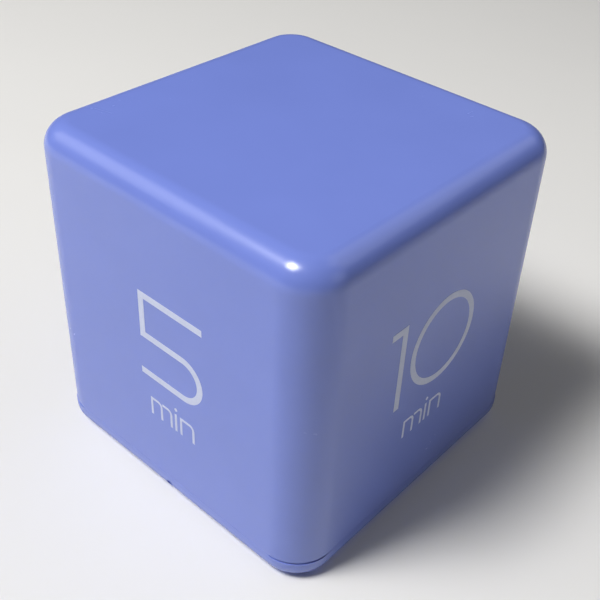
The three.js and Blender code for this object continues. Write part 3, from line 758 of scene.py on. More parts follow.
@dataclass(frozen=True)
class Moulding(Finish):
    """A moulded or cast surface with a fine grain, clouded gloss, dust and worn edges."""

    roughness: float = 0.4
    fineness: float = 3.0
    relief: float = 0.3
    scratches: float = 0.4
    dusting: float = 0.25
    coat: float = 0.0
    specular: float = 0.5
    clouding: float = 0.06
    drift: float = 0.03
    dust: Colour = (0.72, 0.72, 0.74)

    def _shader(self, graph: Graph, effects: Effects) -> Fitting:
        """Cloud the plastic, polish its edges, and lay dust and hairlines on it.

        Args:
            graph: The material's graph.
            effects: The shared groups.

        Returns:
            The shader.
        """
        grain = effects.grain.use(graph, Fineness=self.fineness, Clouding=self.clouding)
        wear = effects.wear.use(graph, Reach=0.0007, Amount=0.5)["Mask"]
        dust = effects.dust.use(graph, Amount=self.dusting)["Mask"]
        lines = effects.hairlines.use(graph, Fineness=1.3, Share=self.scratches)["Mask"]
        colour = grain["Tone"].blend(self._tint(1 - self.drift), self._tint(1 + self.drift))
        colour = (wear * 0.35).blend(colour, self._tint(1.25))
        colour = (dust * 0.3).blend(colour, self.dust)
        rough = grain["Tone"].remap(0.0, 1.0, *about(self.roughness, 0.03))
        return graph.surface(grain["Height"], self.relief, 0.02, {
            "Base Color": colour, "Roughness": rough - wear * 0.08 + lines * 0.08 + dust * 0.25,
            "Coat Weight": self.coat, "Coat Roughness": 0.12,
            "Specular IOR Level": self.specular})


@dataclass(frozen=True)
class Plating(Finish):
    """Bare or plated metal, drawn or rolled one way, with dulled patches."""

    roughness: float = 0.28
    drawn: Triple = (1.0, 1.0, 0.08)
    relief: float = 0.25
    fineness: float = 6.0
    tarnish: Colour = (0.25, 0.22, 0.18)
    tarnish_share: float = 0.2

    def _shader(self, graph: Graph, effects: Effects) -> Fitting:
        """Streak the metal along its drawing, dull it in patches and brighten its edges.

        Args:
            graph: The material's graph.
            effects: The shared groups.

        Returns:
            The shader.
        """
        grain = effects.grain.use(graph, Fineness=2.5, Clouding=0.35)
        wear = effects.wear.use(graph, Reach=0.0003, Amount=0.8)["Mask"]
        streak = graph.noise(graph.place(self.drawn), self.fineness, 2.0, 0.6)
        patch = grain["Tone"] * self.tarnish_share
        colour = wear.blend(patch.blend(self.colour, self.tarnish), self._tint(1.2))
        rough = streak.remap(0.3, 0.7, self.roughness - 0.06, self.roughness + 0.08)
        return graph.surface(streak + grain["Height"] * 0.4, self.relief, 0.01, {
            "Base Color": colour, "Roughness": rough + patch * 0.6, "Metallic": 1.0})


@dataclass(frozen=True)
class Ink(Finish):
    """Pad printed ink: an opaque film, a little thinner in places."""

    under: Colour

    def _shader(self, graph: Graph, effects: Effects) -> Fitting:
        """Let the plastic show through where the film is thin or scratched.

        Args:
            graph: The material's graph.
            effects: The shared groups.

        Returns:
            The shader.
        """
        grain = effects.grain.use(graph, Fineness=2.2, Clouding=0.4)
        lines = effects.hairlines.use(graph, Fineness=1.6, Share=0.5)["Mask"]
        thin = grain["Height"].remap(0.35, 0.6, 0.12, 0.0) + grain["Tone"] * 0.08 + lines * 0.25
        return graph.surface(grain["Height"], 0.3, 0.01, {
            "Base Color": thin.blend(self.colour, self.under),
            "Roughness": grain["Tone"].remap(0.0, 1.0, 0.5, 0.6)})


@dataclass(frozen=True)
class Parted(Finish):
    """A body with bare or lacquered metal on part of it, parted by place."""

    metal: Colour
    roughness: float = 0.4
    metal_roughness: float = 0.26
    fineness: float = 6.0
    relief: float = 0.3

    def _shader(self, graph: Graph, effects: Effects) -> Fitting:
        """Lay the body's colour and the metal side by side.

        Args:
            graph: The material's graph.
            effects: The shared groups.

        Returns:
            The shader.
        """
        grain = effects.grain.use(graph, Fineness=self.fineness, Clouding=0.3)
        wear = effects.wear.use(graph, Reach=0.0002, Amount=0.6)["Mask"]
        tone = grain["Tone"]
        share, height = self._part(graph, grain["Height"])
        body = (wear * 0.4).blend(self._body(graph, tone), self._tint(1.6))
        metal = tone.blend(shade(self.metal, 0.82), shade(self.metal, 1.1))
        rough = share.remap(0.0, 1.0, self.roughness, self.metal_roughness) + tone * 0.1
        return graph.surface(height, self.relief, 0.03, {
            "Base Color": share.blend(body, metal), "Roughness": rough, "Metallic": share})

    def _part(self, graph: Graph, grain: Wire) -> tuple[Wire, Wire]:
        """Give the share of metal and the height at each place.

        Args:
            graph: The material's graph.
            grain: The fine grain.

        Returns:
            The share and the height.
        """
        raise NotImplementedError

    def _body(self, graph: Graph, tone: Wire) -> Wire:
        """Give the body's clouded colour."""
        return tone.blend(self._tint(0.85), self._tint(1.15))


@dataclass(frozen=True)
class Tipped(Parted):
    """A moulded or fired body with tinned metal beyond both its ends."""

    axis: str = "X"
    middle: float = 0.0
    half: float = 1.0

    def _part(self, graph: Graph, grain: Wire) -> tuple[Wire, Wire]:
        """Bare the metal past the body's two ends, along a slightly uneven line."""
        reach = abs(graph.here()[self.axis] - self.middle) + grain.remap(0.3, 0.7, -0.04, 0.04)
        return reach.remap(*about(self.half, 0.02)), grain


@dataclass(frozen=True)
class Round(Parted):
    """A part that stands round an upright axis."""

    middle: Span = (0.0, 0.0)

    def _polar(self, graph: Graph) -> tuple[Wire, Wire, Wire]:
        """Measure from the axis.

        Args:
            graph: The material's graph.

        Returns:
            The distance from the axis, the part of it along X, and the height.
        """
        here = graph.here()
        across, along = here["X"] - self.middle[0], here["Y"] - self.middle[1]
        return (across * across + along * along).do("SQRT"), across, here["Z"]


@dataclass(frozen=True)
class Wound(Round):
    """A ferrite core with lacquered wire wound round its waist."""

    waist: float = 2.4
    wire: float = 0.35

    def _part(self, graph: Graph, grain: Wire) -> tuple[Wire, Wire]:
        """Lay wire beside wire on the waist.

        Args:
            graph: The material's graph.
            grain: The fine grain.

        Returns:
            The share of metal and the height.
        """
        reach, _, height = self._polar(graph)
        wound = reach.remap(self.waist + 0.02, self.waist + 0.1, 1.0, 0.0)
        ribs = (height * (2 * math.pi / self.wire)).do("SINE").remap(-1.0, 1.0, 0.0, 2.0)
        return wound, ribs * wound + grain * 0.5


@dataclass(frozen=True)
class Sleeved(Round):
    """A can in a shrunk sleeve, with a pale stripe down one side and a bare lid."""

    radius: float = 2.5
    lid: float = 27.6
    stripe: Colour = (0.45, 0.46, 0.47)

    def _part(self, graph: Graph, grain: Wire) -> tuple[Wire, Wire]:
        """Bare the lid inside the sleeve's rolled rim.

        Args:
            graph: The material's graph.
            grain: The fine grain.

        Returns:
            The share of metal and the height.
        """
        reach, _, height = self._polar(graph)
        inner = reach.remap(self.radius - 0.5, self.radius - 0.4, 1.0, 0.0)
        return inner * height.remap(self.lid - 0.3, self.lid - 0.2), grain

    def _body(self, graph: Graph, tone: Wire) -> Wire:
        """Lay the stripe on the sleeve.

        Args:
            graph: The material's graph.
            tone: Clouds the colour.

        Returns:
            The colour.
        """
        reach, across, _ = self._polar(graph)
        facing = across.do("DIVIDE", reach.do("MAXIMUM", 0.01))
        return facing.remap(0.9, 0.93).blend(super()._body(graph, tone), self.stripe)


@dataclass(frozen=True)
class Circuit(Parted):
    """A board's lacquered face, with raised tracks and small tinned holes."""

    patch: float = 7.5
    pitch: float = 0.9
    laid_share: float = 0.4
    holes: float = 4.6

    def _tracks(self, graph: Graph) -> Wire:
        """Mask tracks side by side, which run one way in one patch and across in the next.

        Args:
            graph: The material's graph.

        Returns:
            The mask.
        """
        cells = graph.add("TexVoronoi", {"Vector": graph.place(), "Scale": 1 / self.patch},
                          voronoi_dimensions="2D", distance="CHEBYCHEV")
        tint = graph.add("SeparateColor", {0: cells["Color"]})
        here = graph.here()
        along = tint["Red"].do("GREATER_THAN", 0.5)
        across = along * here["X"] + tint["Red"].do("LESS_THAN", 0.5) * here["Y"]
        row = across.do("DIVIDE", self.pitch)
        number = row.do("FLOOR") + tint["Green"] * 97.0
        chance = graph.add("TexWhiteNoise", {"W": number}, noise_dimensions="1D")["Value"]
        inside = abs(row.do("FRACT") - 0.5).remap(0.16, 0.22, 1.0, 0.0)
        return chance.do("GREATER_THAN", self.laid_share) * inside

    def _part(self, graph: Graph, grain: Wire) -> tuple[Wire, Wire]:
        """Bare a small tinned ring at each hole, and raise the tracks.

        Args:
            graph: The material's graph.
            grain: The fine grain.

        Returns:
            The share of metal and the height.
        """
        hole = graph.add("TexVoronoi", {"Vector": graph.place(), "Scale": 1 / self.holes},
                         voronoi_dimensions="2D")["Distance"] * self.holes
        ring = hole.remap(0.36, 0.42, 1.0, 0.0) * hole.remap(0.12, 0.16)
        return ring, self._tracks(graph).do("MAXIMUM", ring) + grain * 0.15

    def _body(self, graph: Graph, tone: Wire) -> Wire:
        """Make the lacquer lighter over the tracks."""
        return self._tracks(graph).blend(super()._body(graph, tone), self._tint(1.8))


@dataclass(frozen=True)
class TableTop(Finish):
    """A pale table top, clear from below, and clear to the light that falls on the base."""

    contact: float = 30.7
    contact_corner: float = 26.6

    def _shader(self, graph: Graph, effects: Effects) -> Fitting:
        """Cloud the top, and clear it for rays from below and shadow rays under the cube.

        Args:
            graph: The material's graph.
            effects: The shared groups, which a table does without.

        Returns:
            The shader.
        """
        cloud, fibre = graph.noise(graph.place(), 0.01, 3.0), graph.noise(graph.place(), 1.5)
        top = graph.surface(fibre, 0.08, 0.02, {
            "Base Color": cloud.blend(self._tint(0.97), self._tint(1.02)), "Roughness": 0.75,
            "Specular IOR Level": 0.2})
        path, here = graph.add("LightPath"), graph.here()
        below = graph.add("NewGeometry")["Backfacing"] * path["Is Camera Ray"]
        across, along = abs(here["X"]), abs(here["Y"])
        reach = across.do("MAXIMUM", along).do("MAXIMUM", across + along - self.contact_corner)
        under = reach.do("LESS_THAN", self.contact) * path["Is Shadow Ray"]
        return graph.add("MixShader", {0: below.do("MAXIMUM", under), 1: top[0],
                                       2: graph.add("BsdfTransparent")[0]})


@dataclass
class Layout:
    """The sizes that several pieces share: the cube's half, screws, bay, board and switch."""

    half: float = 32.0
    column: float = 25.7
    pillar_top: float = 5.0
    bay_middle: float = -10.2
    cell_offset: float = 5.55
    cell_height: float = 7.5
    behind_bay: float = 15.2
    post_x: float = 21.5
    post_front: float = -15.75
    post_back: float = 5.1

    def columns(self) -> list[Span]:
        """Give the places of the four case screws."""
        return [(sx * self.column, sy * self.column) for sx, sy in CORNERS]

    def lying(self, side: int, end: float) -> Matrix:
        """Give the place of a cell or spring that is modelled upright, at one end of the bay."""
        return (moved(side * end, self.bay_middle + side * self.cell_offset, self.cell_height)
                @ rotated(-90 * side, "Y"))


@dataclass
class Cup(Layout):
    """The moulded cup: the blank top and the four side faces, open below."""

    film: float = 0.02
    top: float = 64.0
    wall: float = 2.2
    side_radius: float = 7.4
    top_radius: float = 4.5
    rim: float = 4.215
    corner_lift: float = 0.11
    column_radius: float = 2.7
    web_bottom: float = 7.5
    web: float = 0.6
    web_reach: float = 30.8
    pilot_radius: float = 1.4
    pilot: Span = (4.0, 11.7)

    def build(self, finish: Material) -> None:
        """Model the cup and dress it.

        Args:
            finish: The case plastic.
        """
        face = about(0.0, self.half - self.film)
        cup = Bench.block(face, face, (self.rim, self.top))
        Bench.pick(cup, Part.FACE, lambda item: near(spot(item).z, self.rim))
        bpy.ops.mesh.delete(type="FACE")
        Bench.bevel(cup, self.side_radius - self.film, 20, upright)
        Bench.bevel(cup, self.top_radius, 14, lambda edge: at_height(edge, self.top))
        Bench.modify(cup, "SOLIDIFY", thickness=(self.wall - self.film) * MM, offset=-1.0,
                     use_even_offset=True)
        Bench.lift_corners(cup, self.rim, self.half - self.side_radius + 0.3, self.corner_lift)
        Bench.combine(cup, Combine.JOIN, self._stems())
        Bench.combine(cup, Combine.CUT, [Bench.rod(self.pilot_radius, self.pilot, x, y, 24)
                                         for x, y in self.columns()])
        Bench.hand_over(cup, "cup", finish, "body_shell", stands_for="body_shell")

    def _stems(self) -> list[Piece]:
        """Make the screw columns, each with the two webs that hold it.

        Returns:
            The solids, which overlap each other and the walls.
        """
        under_top = self.top - self.wall + 0.1
        height = (self.web_bottom, under_top)
        stems = []
        for (sx, sy), (x, y) in zip(CORNERS, self.columns()):
            stems += [Bench.rod(self.column_radius, (self.pillar_top, under_top + 0.9), x, y, 32),
                      Bench.block(beside(sx, self.column, self.web_reach), about(y, self.web),
                                  height),
                      Bench.block(about(x, self.web), beside(sy, self.column, self.web_reach),
                                  height)]
        return stems


class Pen:
    """Draws strokes of even width on a flat sheet by extruding and spinning their leading edge.

    The sheet is the plane of X and Y.
    """

    def __init__(self, stroke: float) -> None:
        """Take up a pen.

        Args:
            stroke: Its width.
        """
        self.stroke = stroke
        self.strokes: list[Piece] = []
        self.tip = Vector()
        self.heading = 0.0

    def _way(self, degrees: float) -> Vector:
        """Give the direction at an angle from the heading."""
        angle = math.radians(self.heading + degrees)
        return Vector((math.cos(angle), math.sin(angle), 0.0))

    def _lead(self) -> None:
        """Pick the edge at the tip of the stroke."""
        Bench.pick(self.strokes[-1], Part.EDGE,
                   lambda edge: (spot(edge) - self.tip).length < 0.01)

    def start(self, x: float, y: float, heading: float, length: float) -> None:
        """Start a stroke with a straight run.

        Args:
            x: Middle of the stroke's first end.
            y: Middle of the stroke's first end.
            heading: Where it runs to, from +X.
            length: Length of the run.
        """
        Bench.clear()
        self.heading = heading
        start = Vector((x, y, 0.0))
        self.tip = start + self._way(0) * length
        bpy.ops.mesh.primitive_plane_add(
            size=1, location=(start + self.tip) / 2 * MM, rotation=(0, 0, math.radians(heading)))
        ribbon = bpy.context.object
        ribbon.scale = (length * MM, self.stroke * MM, 1.0)
        self.strokes.append(Bench.settle(ribbon))
        self._lead()

    def run(self, length: float) -> None:
        """Go straight on.

        Args:
            length: How far.
        """
        move = self._way(0) * length
        bpy.ops.mesh.extrude_region_move(TRANSFORM_OT_translate={"value": move * MM})
        self.tip = self.tip + move

    def corner(self, side: int) -> None:
        """Turn a square corner.

        Args:
            side: 1 to the left, -1 to the right.
        """
        aside = self._way(90 * side) - self._way(0)
        self.run(self.stroke)
        self.tip = self.tip + aside * (self.stroke / 2)
        self.heading += 90 * side
        self._lead()

    def turn(self, degrees: float, radius: float) -> None:
        """Turn along an arc.

        Args:
            degrees: How far, to the left if positive.
            radius: Radius of the middle of the stroke.
        """
        centre = self.tip + self._way(math.copysign(90, degrees)) * radius
        bpy.ops.mesh.spin(steps=max(6, round(abs(degrees) / 6)), angle=math.radians(-degrees),
                          center=centre * MM, axis=(0, 0, 1))
        self.tip = centre + rotated(degrees, "Z").to_3x3() @ (self.tip - centre)
        self.heading += degrees
        self._lead()

    def ring(self, x: float, y: float, width: float, height: float) -> None:
        """Draw an upright oval.

        Args:
            x: Its middle.
            y: Its middle.
            width: Its width outside.
            height: Its height outside.
        """
        self.dot(x, y, width / 2, 96)
        Bench.open(self.strokes[-1], Part.FACE)
        bpy.ops.transform.resize(value=(1, height / width, 1),
                                 center_override=(x * MM, y * MM, 0))
        bpy.ops.mesh.inset(thickness=self.stroke * MM, depth=0)
        bpy.ops.mesh.delete(type="FACE")

    def dot(self, x: float, y: float, radius: float, sides: int = 20) -> None:
        """Draw a round dot."""
        self.strokes.append(Bench.disc(radius, sides, (x, y, 0)))

    def thicken(self, low: float, high: float) -> Piece:
        """Join all strokes and give them a thickness.

        Args:
            low: Height of their lower side.
            high: Height of their upper side.

        Returns:
            The one piece.
        """
        sheet = Bench.join(*self.strokes)
        Bench.open(sheet, Part.EDGE)
        bpy.ops.mesh.remove_doubles(threshold=0.002 * MM)
        bpy.ops.mesh.normals_make_consistent(inside=False)
        bpy.ops.mesh.select_all(action="SELECT")
        bpy.ops.transform.translate(value=(0, 0, low * MM))
        bpy.ops.mesh.extrude_region_move(
            TRANSFORM_OT_translate={"value": (0, 0, (high - low) * MM)})
        Bench.hold(sheet)
        return sheet


@dataclass(frozen=True)
class Face:
    """What a side face says: digits, and the word below, each by its left end and its foot."""

    side: Side
    digits: tuple[tuple[Digit, float, float], ...]
    word: Span


@dataclass
class Printing(Layout):
    """The numbers and the word below them, as placed in the photograph or in the middle."""

    film: float = 0.02
    sunk: float = 0.01
    stroke: float = 1.3
    fine_stroke: float = 0.5
    height: float = 17.7
    five_width: float = 14.85
    nought_width: float = 17.8
    one_width: float = 4.0
    letter_height: float = 3.95
    letter_bend: float = 0.95
    faces: tuple[Face, ...] = (
        Face(Side.FIVE, ((Digit.FIVE, -5.1, 26.05),), (-3.3, 17.55)),
        Face(Side.TEN, ((Digit.ONE, -13.15, 26.85), (Digit.NOUGHT, -7.2, 26.75)), (-6.6, 18.2)),
        Face(Side.TWENTY, ((Digit.TWO, -17.175, 26.5), (Digit.NOUGHT, -0.625, 26.5)),
             (-5.3, 17.8)),
        Face(Side.FIFTEEN, ((Digit.ONE, -10.275, 26.5), (Digit.FIVE, -4.575, 26.5)),
             (-5.3, 17.8)),
    )

    def build(self, finish: Material) -> None:
        """Draw, place and dress the print of each side face.

        Args:
            finish: The ink.
        """
        draw = {Digit.NOUGHT: self._nought, Digit.ONE: self._one, Digit.TWO: self._two,
                Digit.FIVE: self._five}
        for face in self.faces:
            broad, fine = Pen(self.stroke), Pen(self.fine_stroke)
            for digit, left, foot in face.digits:
                draw[digit](broad, left, foot)
            self._minutes(fine, *face.word)
            number, word = (pen.thicken(-self.sunk, self.film) for pen in (broad, fine))
            place = (rotated(face.side.value, "Z") @ moved(0.0, self.film - self.half, 0.0)
                     @ rotated(90, "X"))
            Bench.hand_over(Bench.settle(Bench.join(number, word), place),
                            "print_" + face.side.name.lower(), finish, "switch_knob")

    def _five(self, pen: Pen, left: float, foot: float) -> None:
        """Draw a 5: a bar, a square corner, a stem, and a half round bowl.

        Args:
            pen: The broad pen.
            left: The digit's left end.
            foot: Its lower end.
        """
        half = self.stroke / 2
        middle = foot + self.height / 2
        bowl = (middle - foot - half) / 2
        turn_at = left + self.five_width - half - bowl
        pen.start(left + self.five_width + 0.15, foot + self.height - half, 180,
                  self.five_width + 0.15 - self.stroke)
        pen.corner(1)
        pen.run(self.height - self.stroke - (middle - foot) - half)
        pen.corner(1)
        pen.run(turn_at - left - self.stroke)
        pen.turn(-180, bowl)
        pen.run(turn_at - left + 0.3)

    def _two(self, pen: Pen, left: float, foot: float) -> None:
        """Draw a 2: a bar into a half round bowl, a stem, a square corner and a bar.

        Args:
            pen: The broad pen.
            left: The digit's left end.
            foot: Its lower end.
        """
        half = self.stroke / 2
        middle = foot + self.height / 2 - 0.1
        bowl = (foot + self.height - half - middle) / 2
        turn_at = left + self.five_width - half - bowl
        pen.start(left - 0.3, foot + self.height - half, 0, turn_at - left + 0.3)
        pen.turn(-180, bowl)
        pen.run(turn_at - left - self.stroke)
        pen.corner(1)
        pen.run(middle - half - foot - self.stroke)
        pen.corner(1)
        pen.run(self.five_width + 0.1 - self.stroke)

    def _one(self, pen: Pen, left: float, foot: float) -> None:
        """Draw a 1: a short flag and a stem.

        Args:
            pen: The broad pen.
            left: The digit's left end.
            foot: Its lower end.
        """
        pen.start(left, foot + self.height - self.stroke / 2, 0, self.one_width - self.stroke)
        pen.corner(-1)
        pen.run(self.height - self.stroke)

    def _nought(self, pen: Pen, left: float, foot: float) -> None:
        """Draw a round 0."""
        pen.ring(left + self.nought_width / 2, foot + self.height / 2, self.nought_width,
                 self.height)

    def _minutes(self, pen: Pen, left: float, foot: float) -> None:
        """Write min: three stems, the arches that join and follow them, and the dot.

        Args:
            pen: The fine pen.
            left: Middle of the first stem of the m.
            foot: Height of the line that the letters stand on.
        """
        arch, wide_arch = 2.48, 3.04
        dotted, last = left + 6.13, left + 7.43
        half, bend = self.fine_stroke / 2, self.letter_bend
        top = foot + self.letter_height - half
        for stem in (left, dotted, last):
            pen.start(stem, foot, 90, self.letter_height)
        for stem, spacing in ((left, arch), (left + arch, arch), (last, wide_arch)):
            pen.start(stem + half, top, 0, spacing - half - bend)
            pen.turn(-90, bend)
            pen.run(top - bend - foot)
        pen.dot(dotted + 0.1, foot + self.letter_height + 1.05, 0.36)


@dataclass
class Cover(Layout):
    """The screwed cover: tray, locating lip, battery bay, sounder holder and board posts."""

    corner: float = 7.2
    base_radius: float = 2.9
    rim: float = 4.185
    corner_drop: float = 0.22
    floor: float = 2.0
    lip_outer: float = 29.5
    lip_inner: float = 28.1
    lip_top: float = 7.2
    lip_corner: float = 4.9
    lip_end: float = 22.0
    pillar_radius: float = 3.4
    head_room: float = 2.6
    head_seat: float = 2.4
    shank_room: float = 1.4
    bay_end: float = 26.0
    bay_front: float = -21.5
    bay_back: float = 1.1
    bay_wall: float = 1.2
    bay_top: float = 14.25
    bay_ceiling: float = 13.05
    hook: float = 5.5
    hook_half: float = 2.8
    latch_half: float = 3.3
    thumb_radius: float = 4.0
    contact_half: float = 1.8
    sounder_x: float = -8.01
    sounder_steps: tuple[tuple[float, Span], ...] = ((11.4, (1.1, 5.0)), (10.3, (3.0, 6.0)),
                                                     (9.0, (2.0, 6.0)))
    sound_ring: float = 4.6
    sound_hole: float = 0.9
    switch_x: float = 15.03
    switch_seat: float = 5.6
    seat_half: float = 2.2
    seat_foot: float = 1.2
    seat_steps: tuple[Span, ...] = ((3.8, 3.2), (4.6, 6.4))
    switch_rooms: tuple[tuple[float, float, Span, float, int], ...] = (
        (4.7, 2.9, (-1.0, 1.05), 1.2, 8), (3.7, 1.1, (0.5, 3.0), 0.3, 4))
    post_radius: float = 2.2
    board_bottom: float = 19.0
    pin_radius: float = 1.0
    pin_top: float = 21.4
    pin_tip: float = 0.3
    pilot_radius: float = 1.2
    pilot: Span = (13.3, 20.0)
    broken_edge: float = 0.2
    notch_radius: float = 0.8
    notch_height: float = 1.9
    under: float = -1.0
    words: tuple[tuple[str, float], ...] = (("OFF", -8.3), ("ON", 7.7))
    word_size: float = 3.2
    word_depth: float = 0.28
    ink_depth: Span = (0.02, 0.16)

    def build(self, finish: Material) -> None:
        """Model the cover and dress it.

        Args:
            finish: The case plastic.
        """
        cover = self._tray()
        Bench.combine(cover, Combine.JOIN, self._added())
        Bench.combine(cover, Combine.CUT, self._bay_rooms() + self._removed())
        inward = self.half - self.base_radius - 0.6
        Bench.bevel(cover, self.broken_edge, 2,
                    lambda edge: at_height(edge, 0.0) and sharp(edge, 60.0)
                    and max(abs(spot(edge).x), abs(spot(edge).y)) < inward)
        Bench.combine(cover, Combine.CUT, self._words(-self.word_depth, self.word_depth, 0.03))
        self._open_corners(cover)
        Bench.hand_over(cover, "cover", finish, "bottom_cover", stands_for="bottom_cover")

    def mark(self, ink: Material) -> None:
        """Fill the sunk words with ink, a little below the face.

        Args:
            ink: The ink.
        """
        upper, lower = self.ink_depth
        solids = self._words(self.word_depth - lower, self.word_depth - upper, 0.01)
        for solid, (word, _) in zip(solids, self.words):
            Bench.hand_over(solid, "mark_" + word.lower(), ink, "switch_knob")

    def _open_corners(self, cover: Piece) -> None:
        """Lower the rim round the four corners, where the seam stands open.

        Args:
            cover: The cover.
        """
        fade = self.half - self.corner + 0.15
        for way in (Vector((1, 0, 0)), Vector((0, 1, 0))):
            for side in (-fade, fade):
                Bench.pick(cover, Part.FACE, lambda face: near(spot(face).z, self.rim)
                           and abs(face.normal.z) > 0.9)
                bpy.ops.mesh.bisect(plane_co=way * side * MM, plane_no=way)
        Bench.lift_corners(cover, self.rim, fade + 0.1, -self.corner_drop)

    def _tray(self) -> Piece:
        """Make the floor and rim with the rounded lower edge, and the lip.

        Returns:
            The tray.
        """
        whole, outer, inner = (about(0.0, reach)
                               for reach in (self.half, self.lip_outer, self.lip_inner))
        tray = Bench.block(whole, whole, (0.0, self.rim), self.corner, 18)
        Bench.bevel(tray, self.base_radius, 10, lambda edge: at_height(edge, 0.0))
        lip = Bench.block(outer, outer, (self.floor - 0.4, self.lip_top), self.lip_corner, 10)
        Bench.bevel(lip, 0.5, 2, lambda edge: at_height(edge, self.lip_top))
        Bench.combine(tray, Combine.JOIN, [lip])
        over, beyond = self.lip_top + 1, self.half + 1
        ends = [Bench.block(beside(sx, self.lip_end, beyond), beside(sy, self.lip_end, beyond),
                            (self.rim, over)) for sx, sy in CORNERS]
        pocket = Bench.block(inner, inner, (self.floor, over),
                             self.lip_corner - self.lip_outer + self.lip_inner, 8)
        return Bench.combine(tray, Combine.CUT, [*ends, pocket])

    def _added(self) -> list[Piece]:
        """Make all that stands on the tray.

        Returns:
            Pillars, bay, sounder holder, switch seat and board posts.
        """
        wall, y = self.bay_wall, self.behind_bay
        added = [Bench.rod(self.pillar_radius, (1.0, self.pillar_top), *place, 40)
                 for place in self.columns()]
        added.append(Bench.block(about(0.0, self.bay_end + wall),
                                 (self.bay_front - wall, self.bay_back + wall),
                                 (1.0, self.bay_top)))
        ring, *rooms = (Bench.rod(radius, height, self.sounder_x, y, 72)
                        for radius, height in self.sounder_steps)
        added.append(Bench.combine(ring, Combine.CUT, rooms))
        for side in (-1, 1):
            for near_end, top in self.seat_steps:
                low, high = beside(side, near_end, self.switch_seat)
                added.append(Bench.block((self.switch_x + low, self.switch_x + high),
                                         about(y, self.seat_half), (self.seat_foot, top)))
        for place, foot, pinned in self._posts():
            added.append(Bench.rod(self.post_radius, (foot - 0.6, self.board_bottom), *place))
            if pinned:
                pin = Bench.rod(self.pin_radius, (self.board_bottom - 0.6, self.pin_top),
                                *place, 20)
                Bench.bevel(pin, self.pin_tip, 2, lambda edge: at_height(edge, self.pin_top))
                added.append(pin)
        return added

    def _posts(self) -> list[tuple[Span, float, bool]]:
        """Give each board post's place and foot, and whether it ends in a pin."""
        return [((side * self.post_x, y), foot, side == pinned)
                for y, foot, pinned in ((self.post_front, self.bay_top, 1),
                                        (self.post_back, self.floor, -1))
                for side in (-1, 1)]

    def _bay_rooms(self) -> list[Piece]:
        """Make the rooms of the bay: for the cells, between the ledges, and for the door.

        Returns:
            The tools, which share planes and so are used one by one.
        """
        length, width = about(0.0, self.bay_end), (self.bay_front, self.bay_back)
        ledges = (self.bay_front + 1, self.bay_back - 1)
        return [Bench.block(length, width, (2.9, self.bay_ceiling)),
                Bench.block(length, ledges, (1.5, 4.5)),
                Bench.block(length, width, (self.under, 2.1), 0.6, 4)]

    def _removed(self) -> list[Piece]:
        """Make the cutting tools for the other openings.

        Returns:
            The tools: for the door's hooks and latch, the contacts, the case screws, the sound,
            the switch, the board screws and the pry notch.
        """
        end, middle, under = self.bay_end, self.bay_middle, self.under
        tools = [Bench.block((-end - self.bay_wall - 1, 1 - end),
                             about(middle + offset, self.hook_half), (0.7, 2.41))
                 for offset in (-self.hook, self.hook)]
        tools += [Bench.block((end - 1, end + 0.8), about(middle, self.latch_half), (under, 4.5)),
                  Bench.rod(self.thumb_radius, (under, 1.2), end, middle, 64)]
        tools += [Bench.block((end - 0.7, end + 0.3), about(middle + offset, self.contact_half),
                              (self.bay_ceiling - 1, self.bay_top + 1))
                  for offset in (-self.cell_offset, self.cell_offset)]
        for place in self.columns():
            tools += [Bench.rod(self.head_room, (under, self.head_seat), *place, 48),
                      Bench.rod(self.shank_room, (self.floor, 6.0), *place)]
        y, ring = self.behind_bay, self.sound_ring
        for dx, dy in [(0.0, 0.0)] + [(ring * math.cos(k * math.pi / 3),
                                       ring * math.sin(k * math.pi / 3)) for k in range(6)]:
            tools.append(Bench.rod(self.sound_hole, (under, 2.5), self.sounder_x + dx, y + dy))
        tools += [Bench.block(about(self.switch_x, dx), about(y, dy), height, corner, steps)
                  for dx, dy, height, corner, steps in self.switch_rooms]
        tools += [Bench.rod(self.pilot_radius, self.pilot, *place, 20)
                  for place, _, pinned in self._posts() if not pinned]
        notch = Bench.rod(self.notch_radius, (-1.0, 1.0), 0.0, 0.0)
        tools.append(Bench.settle(notch, moved(0, -self.half, self.notch_height)
                                  @ rotated(90, "X")))
        return tools

    def _words(self, low: float, high: float, swell: float) -> list[Piece]:
        """Make OFF and ON beside the switch, as solids that read right from below.

        Args:
            low: Height of their lower faces.
            high: Height of their upper faces.
            swell: How far their outlines are widened.

        Returns:
            The two words.
        """
        solids = []
        for word, aside in self.words:
            Bench.clear()
            bpy.ops.object.text_add()
            text = bpy.context.object.data
            text.body = word
            text.size = self.word_size * MM
            text.align_x = text.align_y = "CENTER"
            text.extrude = (high - low) / 2 * MM
            text.offset = swell * MM
            text.resolution_u = 6
            bpy.ops.object.convert(target="MESH")
            place = moved(self.switch_x + aside, self.behind_bay, (low + high) / 2)
            solids.append(Bench.settle(bpy.context.object, place @ rotated(180, "X")))
        return solids


